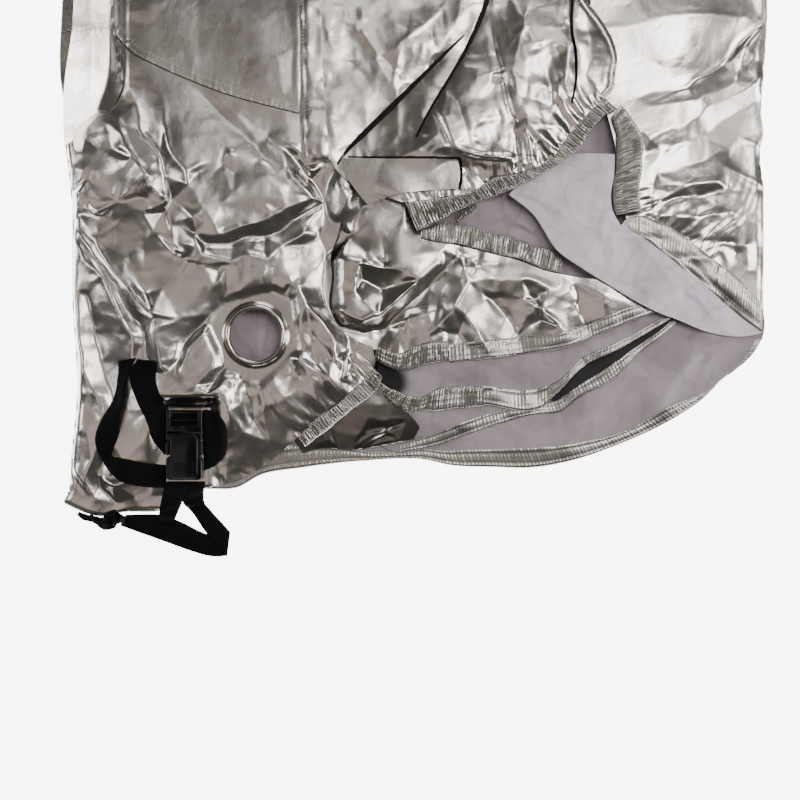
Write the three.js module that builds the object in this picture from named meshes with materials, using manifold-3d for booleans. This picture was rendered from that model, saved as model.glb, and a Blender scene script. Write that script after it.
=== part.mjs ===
import * as THREE from 'three';
import { mergeVertices } from 'three/addons/utils/BufferGeometryUtils.js';
import Module from 'manifold-3d';

// A silver coated motorcycle cover, folded flat on a surface and seen from above.
// Millimetres. +X is to the right, +Y away from the gathered mouth, +Z up off the surface.
// The origin is on the surface, under the middle of the folded cover.

const wasm = await Module();
wasm.setup();

// Driving dimensions
const CLOTH = 1.2;
const GAP = 0.4;
const WELD = 0.02;
const HEM = 1.2;
const HEM_WIDTH = 15;
const HEM_OVERHANG = 1;
const CELL = 18;
const RETURN_WIDTH = 26;
const FOLD_INSIDE = 3;
const FOLD_BULGE = 1.6;
const FOLD_LAP = 0.3;
const FOLD_ENDS = { share: 0.35, rate: 5 };
const NEAR_RIM = 2;
const PLATFORM_RAMP = 2.2;
const RIB_PITCH = 8;
const RIB_HEIGHT = 1.3;
const BAND = 2.2;
const BAND_CLEARANCE = 1.2;
const WEBBING_THICKNESS = 1.6;

// How high each sheet is lofted: its general height, then what it gains or loses to a side
const LOFT = {
  reach: 1.6,
  third: 2,
  second: 4.5,
  skirt: { height: 12, rise: 4, riseFrom: 20, riseOver: 90, dipFrom: -78, dipOver: 34 },
  right: { edge: 5, rise: 9, riseFrom: 352, riseOver: 80 },
  flap: { tip: 8, rise: 12, riseFrom: 330, riseOver: 90 },
  left: {
    edge: 7, rise: 13, riseOver: 95, hem: 3.5, hemFrom: -262, hemOver: 90, keptAtHem: 0.25,
    crown: 5, crownX: -215, crownY: 20, crownWidth: 90, crownLength: 110,
  },
  corner: 6,
  return: 13,
  centre: { edge: 23, rise: 8, leftFrom: -112, leftOver: 60, rightFrom: 204, rightOver: 50 },
};

const EYELET = {
  x: -158, y: -86, inner: 25.5, outer: 34, barrel: 28.5, wall: 1.2,
  platform: 46, height: 19, crown: 4.2, washer: 1.6, foot: 1.4, edge: 1.2,
  shoulder: 2.5, shoulderDrop: 0.8, flatFrom: 2.4, flatTo: 3.6, throat: 1.6,
};
const BUCKLE = {
  x: -229, y: -196, width: 36, length: 70, plug: 22, plugThickness: 8, socketThickness: 11,
  plugLift: 1, corner: 4, bevel: 1.2, platform: 34, height: 12,
};

// The grid that all sheets share, so that stacked sheets keep their order between its points
const GRID = { x: -386, y: -290, columns: 44, rows: 36 };
const ROW = GRID.columns + 1;
const POINTS = ROW * (GRID.rows + 1);

// Edges and seams of the folded cover, in plan
const LEFT_EDGE = [
  [-354, 249], [-356, 176], [-352, 147], [-350, 100], [-346, 70], [-344, 49],
  [-344, -31], [-339, -151], [-344, -201], [-349, -246], [-353, -254],
];
const LOWER_LEFT_EDGE = [
  [-353, -254], [-339, -261], [-314, -268], [-294, -264], [-254, -262], [-209, -240],
];
const LOWER_HEM = [
  [-209, -240], [-179, -239], [-154, -226], [-114, -219], [-54, -212], [14, -211],
  [36, -216], [77, -218], [126, -218], [161, -211], [202, -197], [258, -171],
  [290, -150], [306, -134], [342, -103], [351, -88],
];
const RIGHT_EDGE = [
  [351, -88], [352, 19], [352, 59], [349, 105], [352, 117], [350, 132], [352, 176],
  [355, 220], [356, 249], [354, 298],
];
const TOP_EDGE = [
  [354, 298], [346, 308], [240, 306], [161, 309], [20, 307], [-110, 309], [-340, 308], [-352, 299],
];
const SEAM = [
  [-355, 221], [-339, 217], [-304, 222], [-296, 212], [-282, 196], [-258, 183], [-222, 167],
  [-185, 153], [-145, 142], [-110, 134], [-74, 132],
];
const TURNED_HEM_OUTER = [[211, 29], [226, 33], [243, 27], [258, 20], [300, -11], [331, -35], [348, -54]];
const TURNED_HEM_INNER = [[213, 20], [244, -2], [269, -22], [295, -42], [330, -71], [349, -84]];
const SKIRT_HEM = [
  [246, -61], [226, -68], [189, -83], [150, -98], [112, -104], [65, -110], [36, -113],
];
const SECOND_HEM = [[258, -69], [206, -99], [170, -117], [142, -145], [127, -158], [70, -155]];
const THIRD_HEM = [
  [272, -80], [216, -120], [164, -148], [146, -162], [126, -164], [56, -185], [26, -196], [-14, -203],
];
const MOUTH_EDGE = [
  [-9, 45], [29, 51], [57, 55], [78, 69], [110, 76], [134, 86], [151, 109], [171, 132], [190, 150],
];
const PLEAT_LEFT = [[-113, 308], [-112, 180], [-110, 94], [-108, 82]];
const PLEAT_RIGHT = [[-91, 308], [-91, 180], [-88, 134], [-84, 88]];

// Small helpers for plan geometry
const clamp = (value, low, high) => Math.min(Math.max(value, low), high);
const smooth = (value) => {
  const t = clamp(value, 0, 1);
  return t * t * (3 - 2 * t);
};

function segmentDistance(x, y, from, to) {
  const along = [to[0] - from[0], to[1] - from[1]];
  const length = along[0] * along[0] + along[1] * along[1];
  const raw = ((x - from[0]) * along[0] + (y - from[1]) * along[1]) / length;
  const t = clamp(raw, 0, 1);
  return { distance: Math.hypot(x - from[0] - t * along[0], y - from[1] - t * along[1]), t };
}

// Distance to an outline's rim, positive inside it
function insetAt(outline, x, y) {
  let nearest = Infinity;
  let inside = false;
  outline.forEach((from, k) => {
    const to = outline[(k + 1) % outline.length];
    nearest = Math.min(nearest, segmentDistance(x, y, from, to).distance);
    const crosses = (from[1] > y) !== (to[1] > y);
    if (crosses && x < from[0] + ((y - from[1]) / (to[1] - from[1])) * (to[0] - from[0])) {
      inside = !inside;
    }
  });
  return inside ? nearest : -nearest;
}

// A path moved sideways: to its left for a positive distance
function offsetPath(path, distance) {
  return path.map((point, k) => {
    const before = path[Math.max(k - 1, 0)];
    const after = path[Math.min(k + 1, path.length - 1)];
    const length = Math.hypot(after[0] - before[0], after[1] - before[1]);
    return [
      point[0] - ((after[1] - before[1]) / length) * distance,
      point[1] + ((after[0] - before[0]) / length) * distance,
    ];
  });
}

const stripAlong = (path, left, right) => [
  ...offsetPath(path, right),
  ...offsetPath(path, left).reverse(),
];

// Solids: a plan outline as a tall prism, and a slab between two height fields
function solidFrom(geometry) {
  geometry.deleteAttribute('normal');
  geometry.deleteAttribute('uv');
  const merged = mergeVertices(geometry, 1e-4);
  return new wasm.Manifold(new wasm.Mesh({
    numProp: 3,
    vertProperties: merged.attributes.position.array,
    triVerts: Uint32Array.from(merged.index.array),
  }));
}

// The solid's surface, with corners closer than the weld joined and their empty faces left out
function geometryFrom(solid) {
  const mesh = solid.getMesh();
  const geometry = new THREE.BufferGeometry();
  geometry.setAttribute('position', new THREE.BufferAttribute(mesh.vertProperties, 3));
  geometry.setIndex(new THREE.BufferAttribute(mesh.triVerts, 1));
  const welded = mergeVertices(geometry, WELD);
  const corners = welded.index.array;
  const faces = [];
  for (let k = 0; k < corners.length; k += 3) {
    const [a, b, c] = corners.slice(k, k + 3);
    if (a !== b && b !== c && c !== a) {
      faces.push(a, b, c);
    }
  }
  welded.setIndex(faces);
  welded.computeVertexNormals();
  return welded;
}

function prism(outline, low = -40, high = 160) {
  const shape = new THREE.Shape(outline.map(([x, y]) => new THREE.Vector2(x, y)));
  const geometry = new THREE.ExtrudeGeometry(shape, { depth: high - low, bevelEnabled: false });
  return solidFrom(geometry.translate(0, 0, low));
}

const join = (...solids) => solids.reduce((total, solid) => total.add(solid));
const reversed = (path) => [...path].reverse();
const gridX = (column) => GRID.x + column * CELL;
const gridY = (row) => GRID.y + row * CELL;

// The piecewise flat surface through a height field, split like the slabs' cells
function heightOn(field, x, y) {
  const u = clamp((x - GRID.x) / CELL, 0, GRID.columns - 1e-6);
  const v = clamp((y - GRID.y) / CELL, 0, GRID.rows - 1e-6);
  const [column, row] = [Math.floor(u), Math.floor(v)];
  const [s, t] = [u - column, v - row];
  const low = row * ROW + column;
  const diagonal = field[low + ROW + 1];
  if (s > t) {
    return field[low] + s * (field[low + 1] - field[low]) + t * (diagonal - field[low + 1]);
  }
  return field[low] + t * (field[low + ROW] - field[low]) + s * (diagonal - field[low + ROW]);
}

function slab(outline, bottom, top, step) {
  const xs = outline.map((point) => point[0]);
  const ys = outline.map((point) => point[1]);
  const pitch = step * CELL;
  const first = [
    clamp(Math.floor((Math.min(...xs) - GRID.x) / pitch) * step, 0, GRID.columns),
    clamp(Math.floor((Math.min(...ys) - GRID.y) / pitch) * step, 0, GRID.rows),
  ];
  const last = [
    clamp(Math.ceil((Math.max(...xs) - GRID.x) / pitch) * step, 0, GRID.columns),
    clamp(Math.ceil((Math.max(...ys) - GRID.y) / pitch) * step, 0, GRID.rows),
  ];
  const columns = (last[0] - first[0]) / step;
  const rows = (last[1] - first[1]) / step;
  const width = columns + 1;
  const layer = width * (rows + 1);
  const positions = [];
  for (const field of [bottom, top]) {
    for (let row = 0; row <= rows; row += 1) {
      for (let column = 0; column <= columns; column += 1) {
        const [i, j] = [first[0] + column * step, first[1] + row * step];
        positions.push(gridX(i), gridY(j), field[j * ROW + i]);
      }
    }
  }
  const faces = [];
  for (let row = 0; row < rows; row += 1) {
    for (let column = 0; column < columns; column += 1) {
      const a = row * width + column;
      const [b, c, d] = [a + 1, a + width + 1, a + width];
      faces.push(a, c, b, a, d, c);
      faces.push(a + layer, b + layer, c + layer, a + layer, c + layer, d + layer);
    }
  }
  const wall = (a, b) => faces.push(a, b, b + layer, a, b + layer, a + layer);
  for (let column = 0; column < columns; column += 1) {
    wall(column, column + 1);
    wall(rows * width + column + 1, rows * width + column);
  }
  for (let row = 0; row < rows; row += 1) {
    wall((row + 1) * width, row * width);
    wall(row * width + columns, (row + 1) * width + columns);
  }
  return new wasm.Manifold(new wasm.Mesh({
    numProp: 3,
    vertProperties: Float32Array.from(positions),
    triVerts: Uint32Array.from(faces),
  }));
}

const raised = (field, amount) => field.map((height) => height + amount);

// The shape of a sheet: how high it is lofted, and its folds as ridges or, below zero, troughs
function foldsAt(folds, x, y) {
  return folds.reduce((total, fold) => {
    const { distance, t } = segmentDistance(x, y, fold.from, fold.to);
    const fade = smooth(Math.min(t, 1 - t) * FOLD_ENDS.rate + FOLD_ENDS.share);
    return total + fold.height * fade * Math.exp(-((distance / fold.width) ** 2));
  }, 0);
}

function flattened(height, x, y, platform) {
  const distance = Math.hypot(x - platform.x, y - platform.y);
  const share = smooth((platform.platform + PLATFORM_RAMP * CELL - distance) / (PLATFORM_RAMP * CELL / 2));
  return height + share * (platform.height - height);
}

// One sheet of cloth: its height field lies on the sheets under it, or is lofted above them.
// A hem is a strip of the sheet turned over on itself, which makes it thicker there.
function sheet({ outline, under, loft, step = 1, hems = [] }) {
  const reach = LOFT.reach * CELL * step;
  const bottom = new Float64Array(POINTS);
  for (let row = 0; row <= GRID.rows; row += step) {
    for (let column = 0; column <= GRID.columns; column += step) {
      const height = loft(gridX(column), gridY(row));
      bottom[row * ROW + column] = Math.max(height, supportAt(under, column, row, reach, step));
    }
  }
  if (step === 2) {
    fillBetween(bottom);
  }
  const top = raised(bottom, CLOTH);
  const cut = prism(outline);
  const solids = hems.map((hem) => {
    const strip = slab(hem, raised(bottom, CLOTH / 2), raised(top, HEM), step);
    return strip.intersect(prism(hem)).intersect(cut);
  });
  const cover = top.map((height, k) => {
    const [x, y] = [gridX(k % ROW), gridY(Math.floor(k / ROW))];
    return hems.some((hem) => insetAt(hem, x, y) > -reach) ? height + HEM : height;
  });
  const solid = join(slab(outline, bottom, top, step).intersect(cut), ...solids);
  return { outline, bottom, cover, solid };
}

// The highest sheet under a point of the grid, with all the points that its cell touches
function supportAt(under, column, row, reach, step) {
  let support = 0;
  for (const lower of under) {
    if (insetAt(lower.outline, gridX(column), gridY(row)) > -reach) {
      for (let dj = 1 - step; dj < step; dj += 1) {
        for (let di = 1 - step; di < step; di += 1) {
          const i = clamp(column + di, 0, GRID.columns);
          const j = clamp(row + dj, 0, GRID.rows);
          support = Math.max(support, lower.cover[j * ROW + i] + GAP);
        }
      }
    }
  }
  return support;
}

// Heights at the fine points of a coarse field, on the coarse cells' flat faces
function fillBetween(field) {
  for (let row = 0; row <= GRID.rows; row += 1) {
    for (let column = 0; column <= GRID.columns; column += 1) {
      const [oddColumn, oddRow] = [column % 2, row % 2];
      if (oddColumn || oddRow) {
        const before = field[(row - oddRow) * ROW + column - oddColumn];
        const after = field[(row + oddRow) * ROW + column + oddColumn];
        field[row * ROW + column] = (before + after) / 2;
      }
    }
  }
}

// The bent cloth between two sheets of one piece, along the edge where it turns over
function foldWall(path, lower, upper) {
  const strip = stripAlong(path, FOLD_INSIDE, -FOLD_BULGE);
  const low = raised(lower.bottom, CLOTH * FOLD_LAP);
  const high = raised(upper.bottom, CLOTH * (1 - FOLD_LAP));
  return prism(strip).intersect(slab(strip, low, high, 1));
}

// The lowest sheet, inside up, flat on the surface, with ruffles along its free hem
const BACK_RUFFLES = [
  { from: [96, -205], to: [120, -180], width: 16, height: 3 },
  { from: [180, -190], to: [200, -160], width: 16, height: 4 },
  { from: [236, -168], to: [226, -130], width: 18, height: 4 },
  { from: [292, -128], to: [300, -96], width: 18, height: 3 },
  { from: [330, -92], to: [310, -70], width: 16, height: 3 },
  { from: [16, -206], to: [-20, -206], width: 16, height: 2.5 },
];
const footprint = [
  ...LEFT_EDGE, ...LOWER_LEFT_EDGE.slice(1), ...LOWER_HEM.slice(1), ...RIGHT_EDGE.slice(1),
  ...TOP_EDGE.slice(1),
];
const back = sheet({
  outline: footprint,
  under: [],
  step: 2,
  hems: [stripAlong(LOWER_HEM, HEM_WIDTH, -HEM_OVERHANG)],
  loft: (x, y) => foldsAt(BACK_RUFFLES, x, y),
});

// Inner sheets, one on another, each with its hem a little further in
const THIRD_FOLDS = [
  { from: [40, -180], to: [60, -150], width: 18, height: 3 },
  { from: [150, -150], to: [160, -110], width: 18, height: 3 },
];
const third = sheet({
  outline: [
    ...reversed(THIRD_HEM), [276, -51], [186, 19], [-14, 19], [-29, -51], [-34, -151], [-30, -200],
  ],
  under: [back],
  step: 2,
  hems: [stripAlong(reversed(THIRD_HEM), HEM_WIDTH, -HEM_OVERHANG)],
  loft: (x, y) => LOFT.third + foldsAt(THIRD_FOLDS, x, y),
});

const SECOND_FOLDS = [
  { from: [20, -132], to: [96, -122], width: 12, height: 4 },
  { from: [110, -146], to: [140, -112], width: 12, height: 4 },
  { from: [40, 40], to: [110, 10], width: 14, height: 4 },
  { from: [186, -92], to: [222, -76], width: 12, height: 3 },
];
const second = sheet({
  outline: [
    ...reversed(SECOND_HEM), [256, -41], [190, 14], [186, 99], [150, 128], [66, 128], [-4, 40],
    [-12, 8], [-28, -51], [-38, -133], [-20, -137], [14, -134], [38, -137], [66, -139],
  ],
  under: [back, third],
  hems: [stripAlong(reversed(SECOND_HEM), HEM_WIDTH, -HEM_OVERHANG)],
  loft: (x, y) => LOFT.second + foldsAt(SECOND_FOLDS, x, y),
});

const SKIRT_FOLDS = [
  { from: [22, -15], to: [-34, -71], width: 12, height: -7 },
  { from: [64, -7], to: [25, -78], width: 11, height: 6 },
  { from: [-49, 41], to: [-66, 14], width: 11, height: -6 },
  { from: [-81, -64], to: [-36, -66], width: 13, height: 6 },
  { from: [-36, -66], to: [6, -29], width: 13, height: 6 },
  { from: [30, 2], to: [125, -22], width: 9, height: 4 },
  { from: [100, -60], to: [190, -78], width: 14, height: 4 },
  { from: [60, -84], to: [120, -96], width: 12, height: -4 },
];
const skirt = sheet({
  outline: [
    [14, 8], [45, 3], [78, -5], [106, -12], [132, -22], [162, -28], [226, -41], ...SKIRT_HEM,
    [34, -92], [10, -94], [-14, -104], [-38, -96], [-52, -73], [-64, -51], [-79, -21], [-74, 14],
    [-49, 40], [-20, 38], [-2, 14],
  ],
  under: [back, third, second],
  hems: [stripAlong(reversed(SKIRT_HEM), HEM_WIDTH, -HEM_OVERHANG)],
  loft: (x, y) => {
    const { height, rise, riseFrom, riseOver, dipFrom, dipOver } = LOFT.skirt;
    const lofted = height + rise * smooth((riseFrom - x) / riseOver) + foldsAt(SKIRT_FOLDS, x, y);
    return lofted * smooth((x - dipFrom) / dipOver);
  },
});

// The right third of the cover: the back sheet turned over at the right edge, outside up
const RIGHT_FOLDS = [
  { from: [226, 219], to: [286, 129], width: 20, height: 4 },
  { from: [276, 189], to: [340, 60], width: 22, height: 3 },
  { from: [300, 280], to: [250, 240], width: 18, height: 3 },
  { from: [250, 80], to: [330, 20], width: 16, height: 4 },
  { from: [322, 120], to: [346, 100], width: 12, height: 4 },
  { from: [238, 120], to: [250, 60], width: 12, height: -3 },
];
const right = sheet({
  outline: [
    ...RIGHT_EDGE.slice(1), [346, 308], [240, 306], [186, 308], [176, 229], [190, 149],
    [204, 89], [208, 49], [216, 16], [228, 14], [243, 8], [286, -20], [326, -52], [347, -72],
  ],
  under: [back, third, second, skirt],
  loft: (x, y) => {
    const { edge, rise, riseFrom, riseOver } = LOFT.right;
    return edge + rise * smooth((riseFrom - x) / riseOver) + foldsAt(RIGHT_FOLDS, x, y);
  },
});
const rightFold = foldWall(RIGHT_EDGE.slice(1), back, right);
const rightTopFold = foldWall(TOP_EDGE.slice(0, 3), back, right);
const backSolid = join(back.solid, right.solid, rightFold, rightTopFold);

// The sheet turned back at the mouth, inside up, with its stitched hem
const FLAP_FOLDS = [
  { from: [116, 48], to: [190, 60], width: 14, height: 4 },
  { from: [160, 90], to: [172, 20], width: 12, height: 3 },
  { from: [210, 10], to: [300, -76], width: 12, height: 4 },
  { from: [180, -20], to: [250, -50], width: 10, height: 3 },
];
const flap = sheet({
  outline: [
    [94, 54], [141, 91], [161, 94], [200, 94], [199, 74], [196, 54], [197, 39], [206, 22],
    ...TURNED_HEM_OUTER, [349, -84], [333, -87], [295, -83], [264, -71], [244, -64],
    [225, -55], [194, -36], [166, -19], [146, -5], [116, 37],
  ],
  under: [back, third, second, skirt, right],
  hems: [[...TURNED_HEM_INNER, ...reversed(TURNED_HEM_OUTER)]],
  loft: (x, y) => {
    const { tip, rise, riseFrom, riseOver } = LOFT.flap;
    return tip + rise * smooth((riseFrom - x) / riseOver) + foldsAt(FLAP_FOLDS, x, y);
  },
});

// The left side panel, outside up, in two parts that meet at the seam
const LEFT_FOLDS = [
  { from: [-339, 39], to: [-259, -71], width: 12, height: 7 },
  { from: [-344, 15], to: [-274, -101], width: 10, height: 6 },
  { from: [-342, -41], to: [-318, -170], width: 10, height: 5 },
  { from: [-288, 162], to: [-256, 49], width: 12, height: -3 },
  { from: [-256, 49], to: [-244, -1], width: 12, height: -3 },
  { from: [-283, 158], to: [-228, 65], width: 11, height: 5 },
  { from: [-228, 65], to: [-246, 9], width: 11, height: 3 },
  { from: [-226, 160], to: [-104, 49], width: 22, height: -6 },
  { from: [-219, -96], to: [-190, -63], width: 10, height: 5 },
  { from: [-219, 17], to: [-101, 42], width: 14, height: 8 },
  { from: [-219, 17], to: [-149, -9], width: 12, height: 6 },
  { from: [-127, -30], to: [-76, -92], width: 11, height: 6 },
  { from: [-72, -129], to: [-116, -112], width: 11, height: 5 },
  { from: [-234, -132], to: [-190, -150], width: 10, height: 5 },
  { from: [-191, -146], to: [-150, -190], width: 12, height: 6 },
  { from: [-98, 52], to: [-83, -27], width: 16, height: -9 },
  { from: [-83, -27], to: [-69, -84], width: 14, height: -8 },
  { from: [-330, -230], to: [-290, -180], width: 10, height: 4 },
  { from: [-286, -246], to: [-256, -214], width: 10, height: 4 },
];
const leftLoft = (x, y) => {
  const { left } = LOFT;
  const hump = ((x - left.crownX) / left.crownWidth) ** 2 + ((y - left.crownY) / left.crownLength) ** 2;
  const rim = insetAt(footprint, x, y);
  const lofted = left.edge + left.rise * smooth(rim / left.riseOver) + left.crown * Math.exp(-hump);
  const slope = smooth((y - left.hemFrom) / left.hemOver);
  const share = left.keptAtHem + (1 - left.keptAtHem) * slope;
  const height = left.hem + (lofted - left.hem + foldsAt(LEFT_FOLDS, x, y)) * share;
  return flattened(flattened(height, x, y, EYELET), x, y, BUCKLE);
};
const seamBelow = offsetPath(SEAM, -GAP / 2);
const seamAbove = offsetPath(SEAM, GAP / 2);
const lowerReturn = sheet({
  outline: stripAlong(LEFT_EDGE.slice(2), RETURN_WIDTH, 0),
  under: [back],
  loft: () => 0,
});
const leftLower = sheet({
  outline: [
    [-355, 220.5], ...LEFT_EDGE.slice(1), ...LOWER_LEFT_EDGE.slice(1), [-176, -231], [-146, -214],
    [-116, -188], [-98, -170], [-71, -149], [-47, -127], [-40, -118], [-41, -98], [-52, -94],
    [-68, -84], [-84, -60], [-82, -27], [-83, -6], [-76, 14], [-70, 49], [-70, 100], [-73, 131.5],
    ...reversed(seamBelow).slice(1),
  ],
  under: [back, third, second, skirt, lowerReturn],
  loft: leftLoft,
});
const leftFold = foldWall(LEFT_EDGE.slice(2), lowerReturn, leftLower);
const eyeletHole = new THREE.CylinderGeometry(EYELET.barrel + GAP, EYELET.barrel + GAP, 120, 40);
eyeletHole.rotateX(Math.PI / 2).translate(EYELET.x, EYELET.y, 0);
const leftSolid = join(leftLower.solid, leftFold, lowerReturn.solid).subtract(solidFrom(eyeletHole));

const topReturnPath = [
  [-110, 309], [-340, 308], [-352, 299], [-354, 249], [-355, 232],
];
const upperReturn = sheet({
  outline: [...topReturnPath, [-329, 232], [-328, 282], [-110, 283]],
  under: [back],
  loft: () => 0,
});
const leftUpper = sheet({
  outline: [
    [-73, 132.5], [-74, 180], [-76, 308], [-110, 309], [-340, 308], [-352, 299], [-354, 249],
    [-355, 222], ...seamAbove.slice(1, -1),
  ],
  under: [back, upperReturn],
  loft: leftLoft,
});
const upperLeftSolid = join(
  leftUpper.solid, upperReturn.solid, foldWall(topReturnPath, upperReturn, leftUpper),
);

// A corner of the side panel folded over on itself, at the upper left
const CORNER_FOLDS = [{ from: [-322, 300], to: [-320, 150], width: 12, height: 3 }];
const corner = sheet({
  outline: [
    [-338, 304], [-310, 304], [-305, 249], [-302, 221], [-293, 179], [-291, 167], [-295, 152],
    [-305, 137], [-314, 139], [-335, 120], [-341, 107], [-348, 102], [-349, 147], [-347, 172],
    [-341, 215], [-339, 249],
  ],
  under: [leftUpper, leftLower],
  loft: (x, y) => LOFT.corner + foldsAt(CORNER_FOLDS, x, y),
});

// The centre panel, outside up, with the pleat at its left edge and a rounded right edge
const CENTRE_FOLDS = [
  { from: [50, 212], to: [-64, 101], width: 12, height: -7 },
  { from: [71, 300], to: [51, 193], width: 12, height: -9 },
  { from: [51, 193], to: [18, 139], width: 12, height: -9 },
  { from: [18, 139], to: [-9, 90], width: 12, height: -7 },
  { from: [78, 209], to: [112, 114], width: 10, height: 5 },
  { from: [19, 139], to: [44, 79], width: 10, height: 5 },
  { from: [123, 204], to: [122, 121], width: 11, height: -6 },
  { from: [155, 290], to: [156, 146], width: 10, height: -6 },
  { from: [-20, 74], to: [44, 78], width: 14, height: 4 },
  { from: [100, 250], to: [104, 300], width: 12, height: 4 },
  { from: [140, 120], to: [90, 92], width: 12, height: 5 },
];
const rightReturnPath = [[191, 168], [199, 191], [196, 207], [184, 230], [170, 249], [163, 300]];
const centreReturn = sheet({
  outline: stripAlong(rightReturnPath, RETURN_WIDTH, 0),
  under: [back, third, second, skirt, right, flap],
  loft: () => LOFT.return,
});
const centreTopPath = [[150, 309], [20, 307], [-72, 309]];
const centreTopReturn = sheet({
  outline: stripAlong(centreTopPath, RETURN_WIDTH, 0),
  under: [back, leftUpper, right, centreReturn],
  loft: () => LOFT.return,
});
const centre = sheet({
  outline: [
    ...PLEAT_LEFT, [-84, 88], [-72, 72], [-40, 56], ...MOUTH_EDGE, [199, 160], [201, 175],
    [203, 191], [199, 207], [186, 230], [171, 249], [161, 309], [20, 307],
  ],
  under: [back, third, second, skirt, right, flap, leftUpper, leftLower, centreReturn, centreTopReturn],
  hems: [[...PLEAT_RIGHT, ...reversed(PLEAT_LEFT)]],
  loft: (x, y) => {
    const { edge, rise, leftFrom, leftOver, rightFrom, rightOver } = LOFT.centre;
    const middle = smooth((x - leftFrom) / leftOver) * smooth((rightFrom - x) / rightOver);
    return edge + rise * middle + foldsAt(CENTRE_FOLDS, x, y);
  },
});
const centreSolid = join(
  centre.solid,
  centreReturn.solid, foldWall(rightReturnPath, centreReturn, centre),
  centreTopReturn.solid, foldWall(centreTopPath, centreTopReturn, centre),
);

const stepLengths = (path) => path.slice(1).map((p, k) => Math.hypot(p[0] - path[k][0], p[1] - path[k][1]));
const total = (values) => values.reduce((sum, value) => sum + value, 0);

// Elastic bands: a strip between two rails, pinched into ribs, at the height of what carries it
function pointAlong(path, share) {
  const lengths = stepLengths(path);
  let left = share * total(lengths);
  let k = 0;
  while (k < lengths.length - 1 && left > lengths[k]) {
    left -= lengths[k];
    k += 1;
  }
  const t = clamp(left / lengths[k], 0, 1);
  return [path[k][0] + t * (path[k + 1][0] - path[k][0]), path[k][1] + t * (path[k + 1][1] - path[k][1])];
}

function highestUnder(sheets, x, y) {
  return sheets.reduce((highest, lower) => {
    const covers = insetAt(lower.outline, x, y) > -NEAR_RIM;
    return covers ? Math.max(highest, heightOn(lower.cover, x, y)) : highest;
  }, 0);
}

// A closed strip of stations, each with four corners
function stripSolid(stations) {
  const positions = stations.flat(2);
  const faces = [];
  stations.slice(1).forEach((_, k) => {
    for (let side = 0; side < 4; side += 1) {
      const [a, b] = [4 * k + side, 4 * k + ((side + 1) % 4)];
      faces.push(a, b, a + 4, b, b + 4, a + 4);
    }
  });
  const end = 4 * (stations.length - 1);
  faces.push(0, 2, 1, 0, 3, 2, end, end + 1, end + 2, end, end + 2, end + 3);
  const geometry = new THREE.BufferGeometry();
  geometry.setAttribute('position', new THREE.Float32BufferAttribute(positions, 3));
  geometry.setIndex(faces);
  geometry.computeVertexNormals();
  return geometry;
}

// Rails run so that the second one is to the left of the first
function elasticBand({ near, far, panel, under, drop = 0 }) {
  const steps = 2 * Math.round(total(stepLengths(near)) / RIB_PITCH);
  const stations = [];
  for (let k = 0; k <= steps; k += 1) {
    const share = k / steps;
    const [a, b] = [pointAlong(near, share), pointAlong(far, share)];
    const rib = k % 2 ? RIB_HEIGHT : 0;
    const middle = [(a[0] + b[0]) / 2, (a[1] + b[1]) / 2];
    const carried = heightOn(panel.bottom, ...a);
    const lowest = Math.max(...[a, middle, b].map((point) => highestUnder(under, ...point) + BAND_CLEARANCE));
    const [atA, atB] = [Math.max(carried, lowest) + rib * 0.5, Math.max(carried - drop, lowest) + rib];
    stations.push([[...a, atA], [...b, atB], [...b, atB + BAND], [...a, atA + BAND]]);
  }
  return stripSolid(stations);
}

const lowSheets = [back, third, second];
const BANDS = {
  upper_elastic: {
    near: offsetPath(reversed(MOUTH_EDGE), 0.5),
    far: [
      [199, 141], [176, 124], [156, 102], [115, 63], [92, 54], [67, 48], [53, 40], [22, 28], [2, 17],
    ],
    panel: centre, under: [...lowSheets, skirt, flap, right], drop: 5,
  },
  right_elastic: {
    near: [
      [197, 131], [201, 117], [202.4, 100], [201, 80], [198.6, 66], [197.6, 54], [198.6, 39.5], [202, 33],
    ],
    far: [[206, 143], [216, 131], [228, 107], [228, 92], [227, 80], [225, 62], [225, 48], [226, 38]],
    panel: flap, under: [...lowSheets, right], drop: 0,
  },
  inner_elastic: {
    near: offsetPath([[7, 10], [14, 8], [45, 3], [78, -5], [106, -12], [132, -22], [146, -25]], 1),
    far: [[7, 19], [32, 26], [56, 23], [92, 13], [120, 5], [140, -4], [148, -12]],
    panel: skirt, under: lowSheets, drop: 0,
  },
  skirt_elastic: {
    near: offsetPath([[-37, -97], [-14, -105], [10, -95], [34, -93]].reverse(), 0.6),
    far: [[-40, -112], [-14, -122], [14, -115], [34, -112]].reverse(),
    panel: skirt, under: lowSheets, drop: 2,
  },
  second_elastic: {
    near: offsetPath([[-38, -134], [-20, -138], [14, -135], [38, -138], [66, -140]].reverse(), 0.6),
    far: [[-38, -150], [-19, -156], [14, -148], [38, -157], [68, -158]].reverse(),
    panel: second, under: [back, third], drop: 1,
  },
  left_elastic: {
    near: offsetPath([[-116, -188], [-98, -170], [-71, -149], [-47, -127], [-41, -119]].reverse(), 0.6),
    far: [[-109, -198], [-87, -181], [-60, -160], [-36, -139], [-31, -128]].reverse(),
    panel: leftLower, under: [...lowSheets, skirt], drop: 3,
  },
};

// The eyelet: a flanged ring from above, and its washer under the cloth
const ROUND = 36;

function lathe(profile, segments) {
  const points = [...profile, profile[0]].map(([radius, height]) => new THREE.Vector2(radius, height));
  const geometry = new THREE.LatheGeometry(points, segments);
  geometry.rotateX(Math.PI / 2);
  return geometryFrom(solidFrom(geometry));
}

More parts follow.
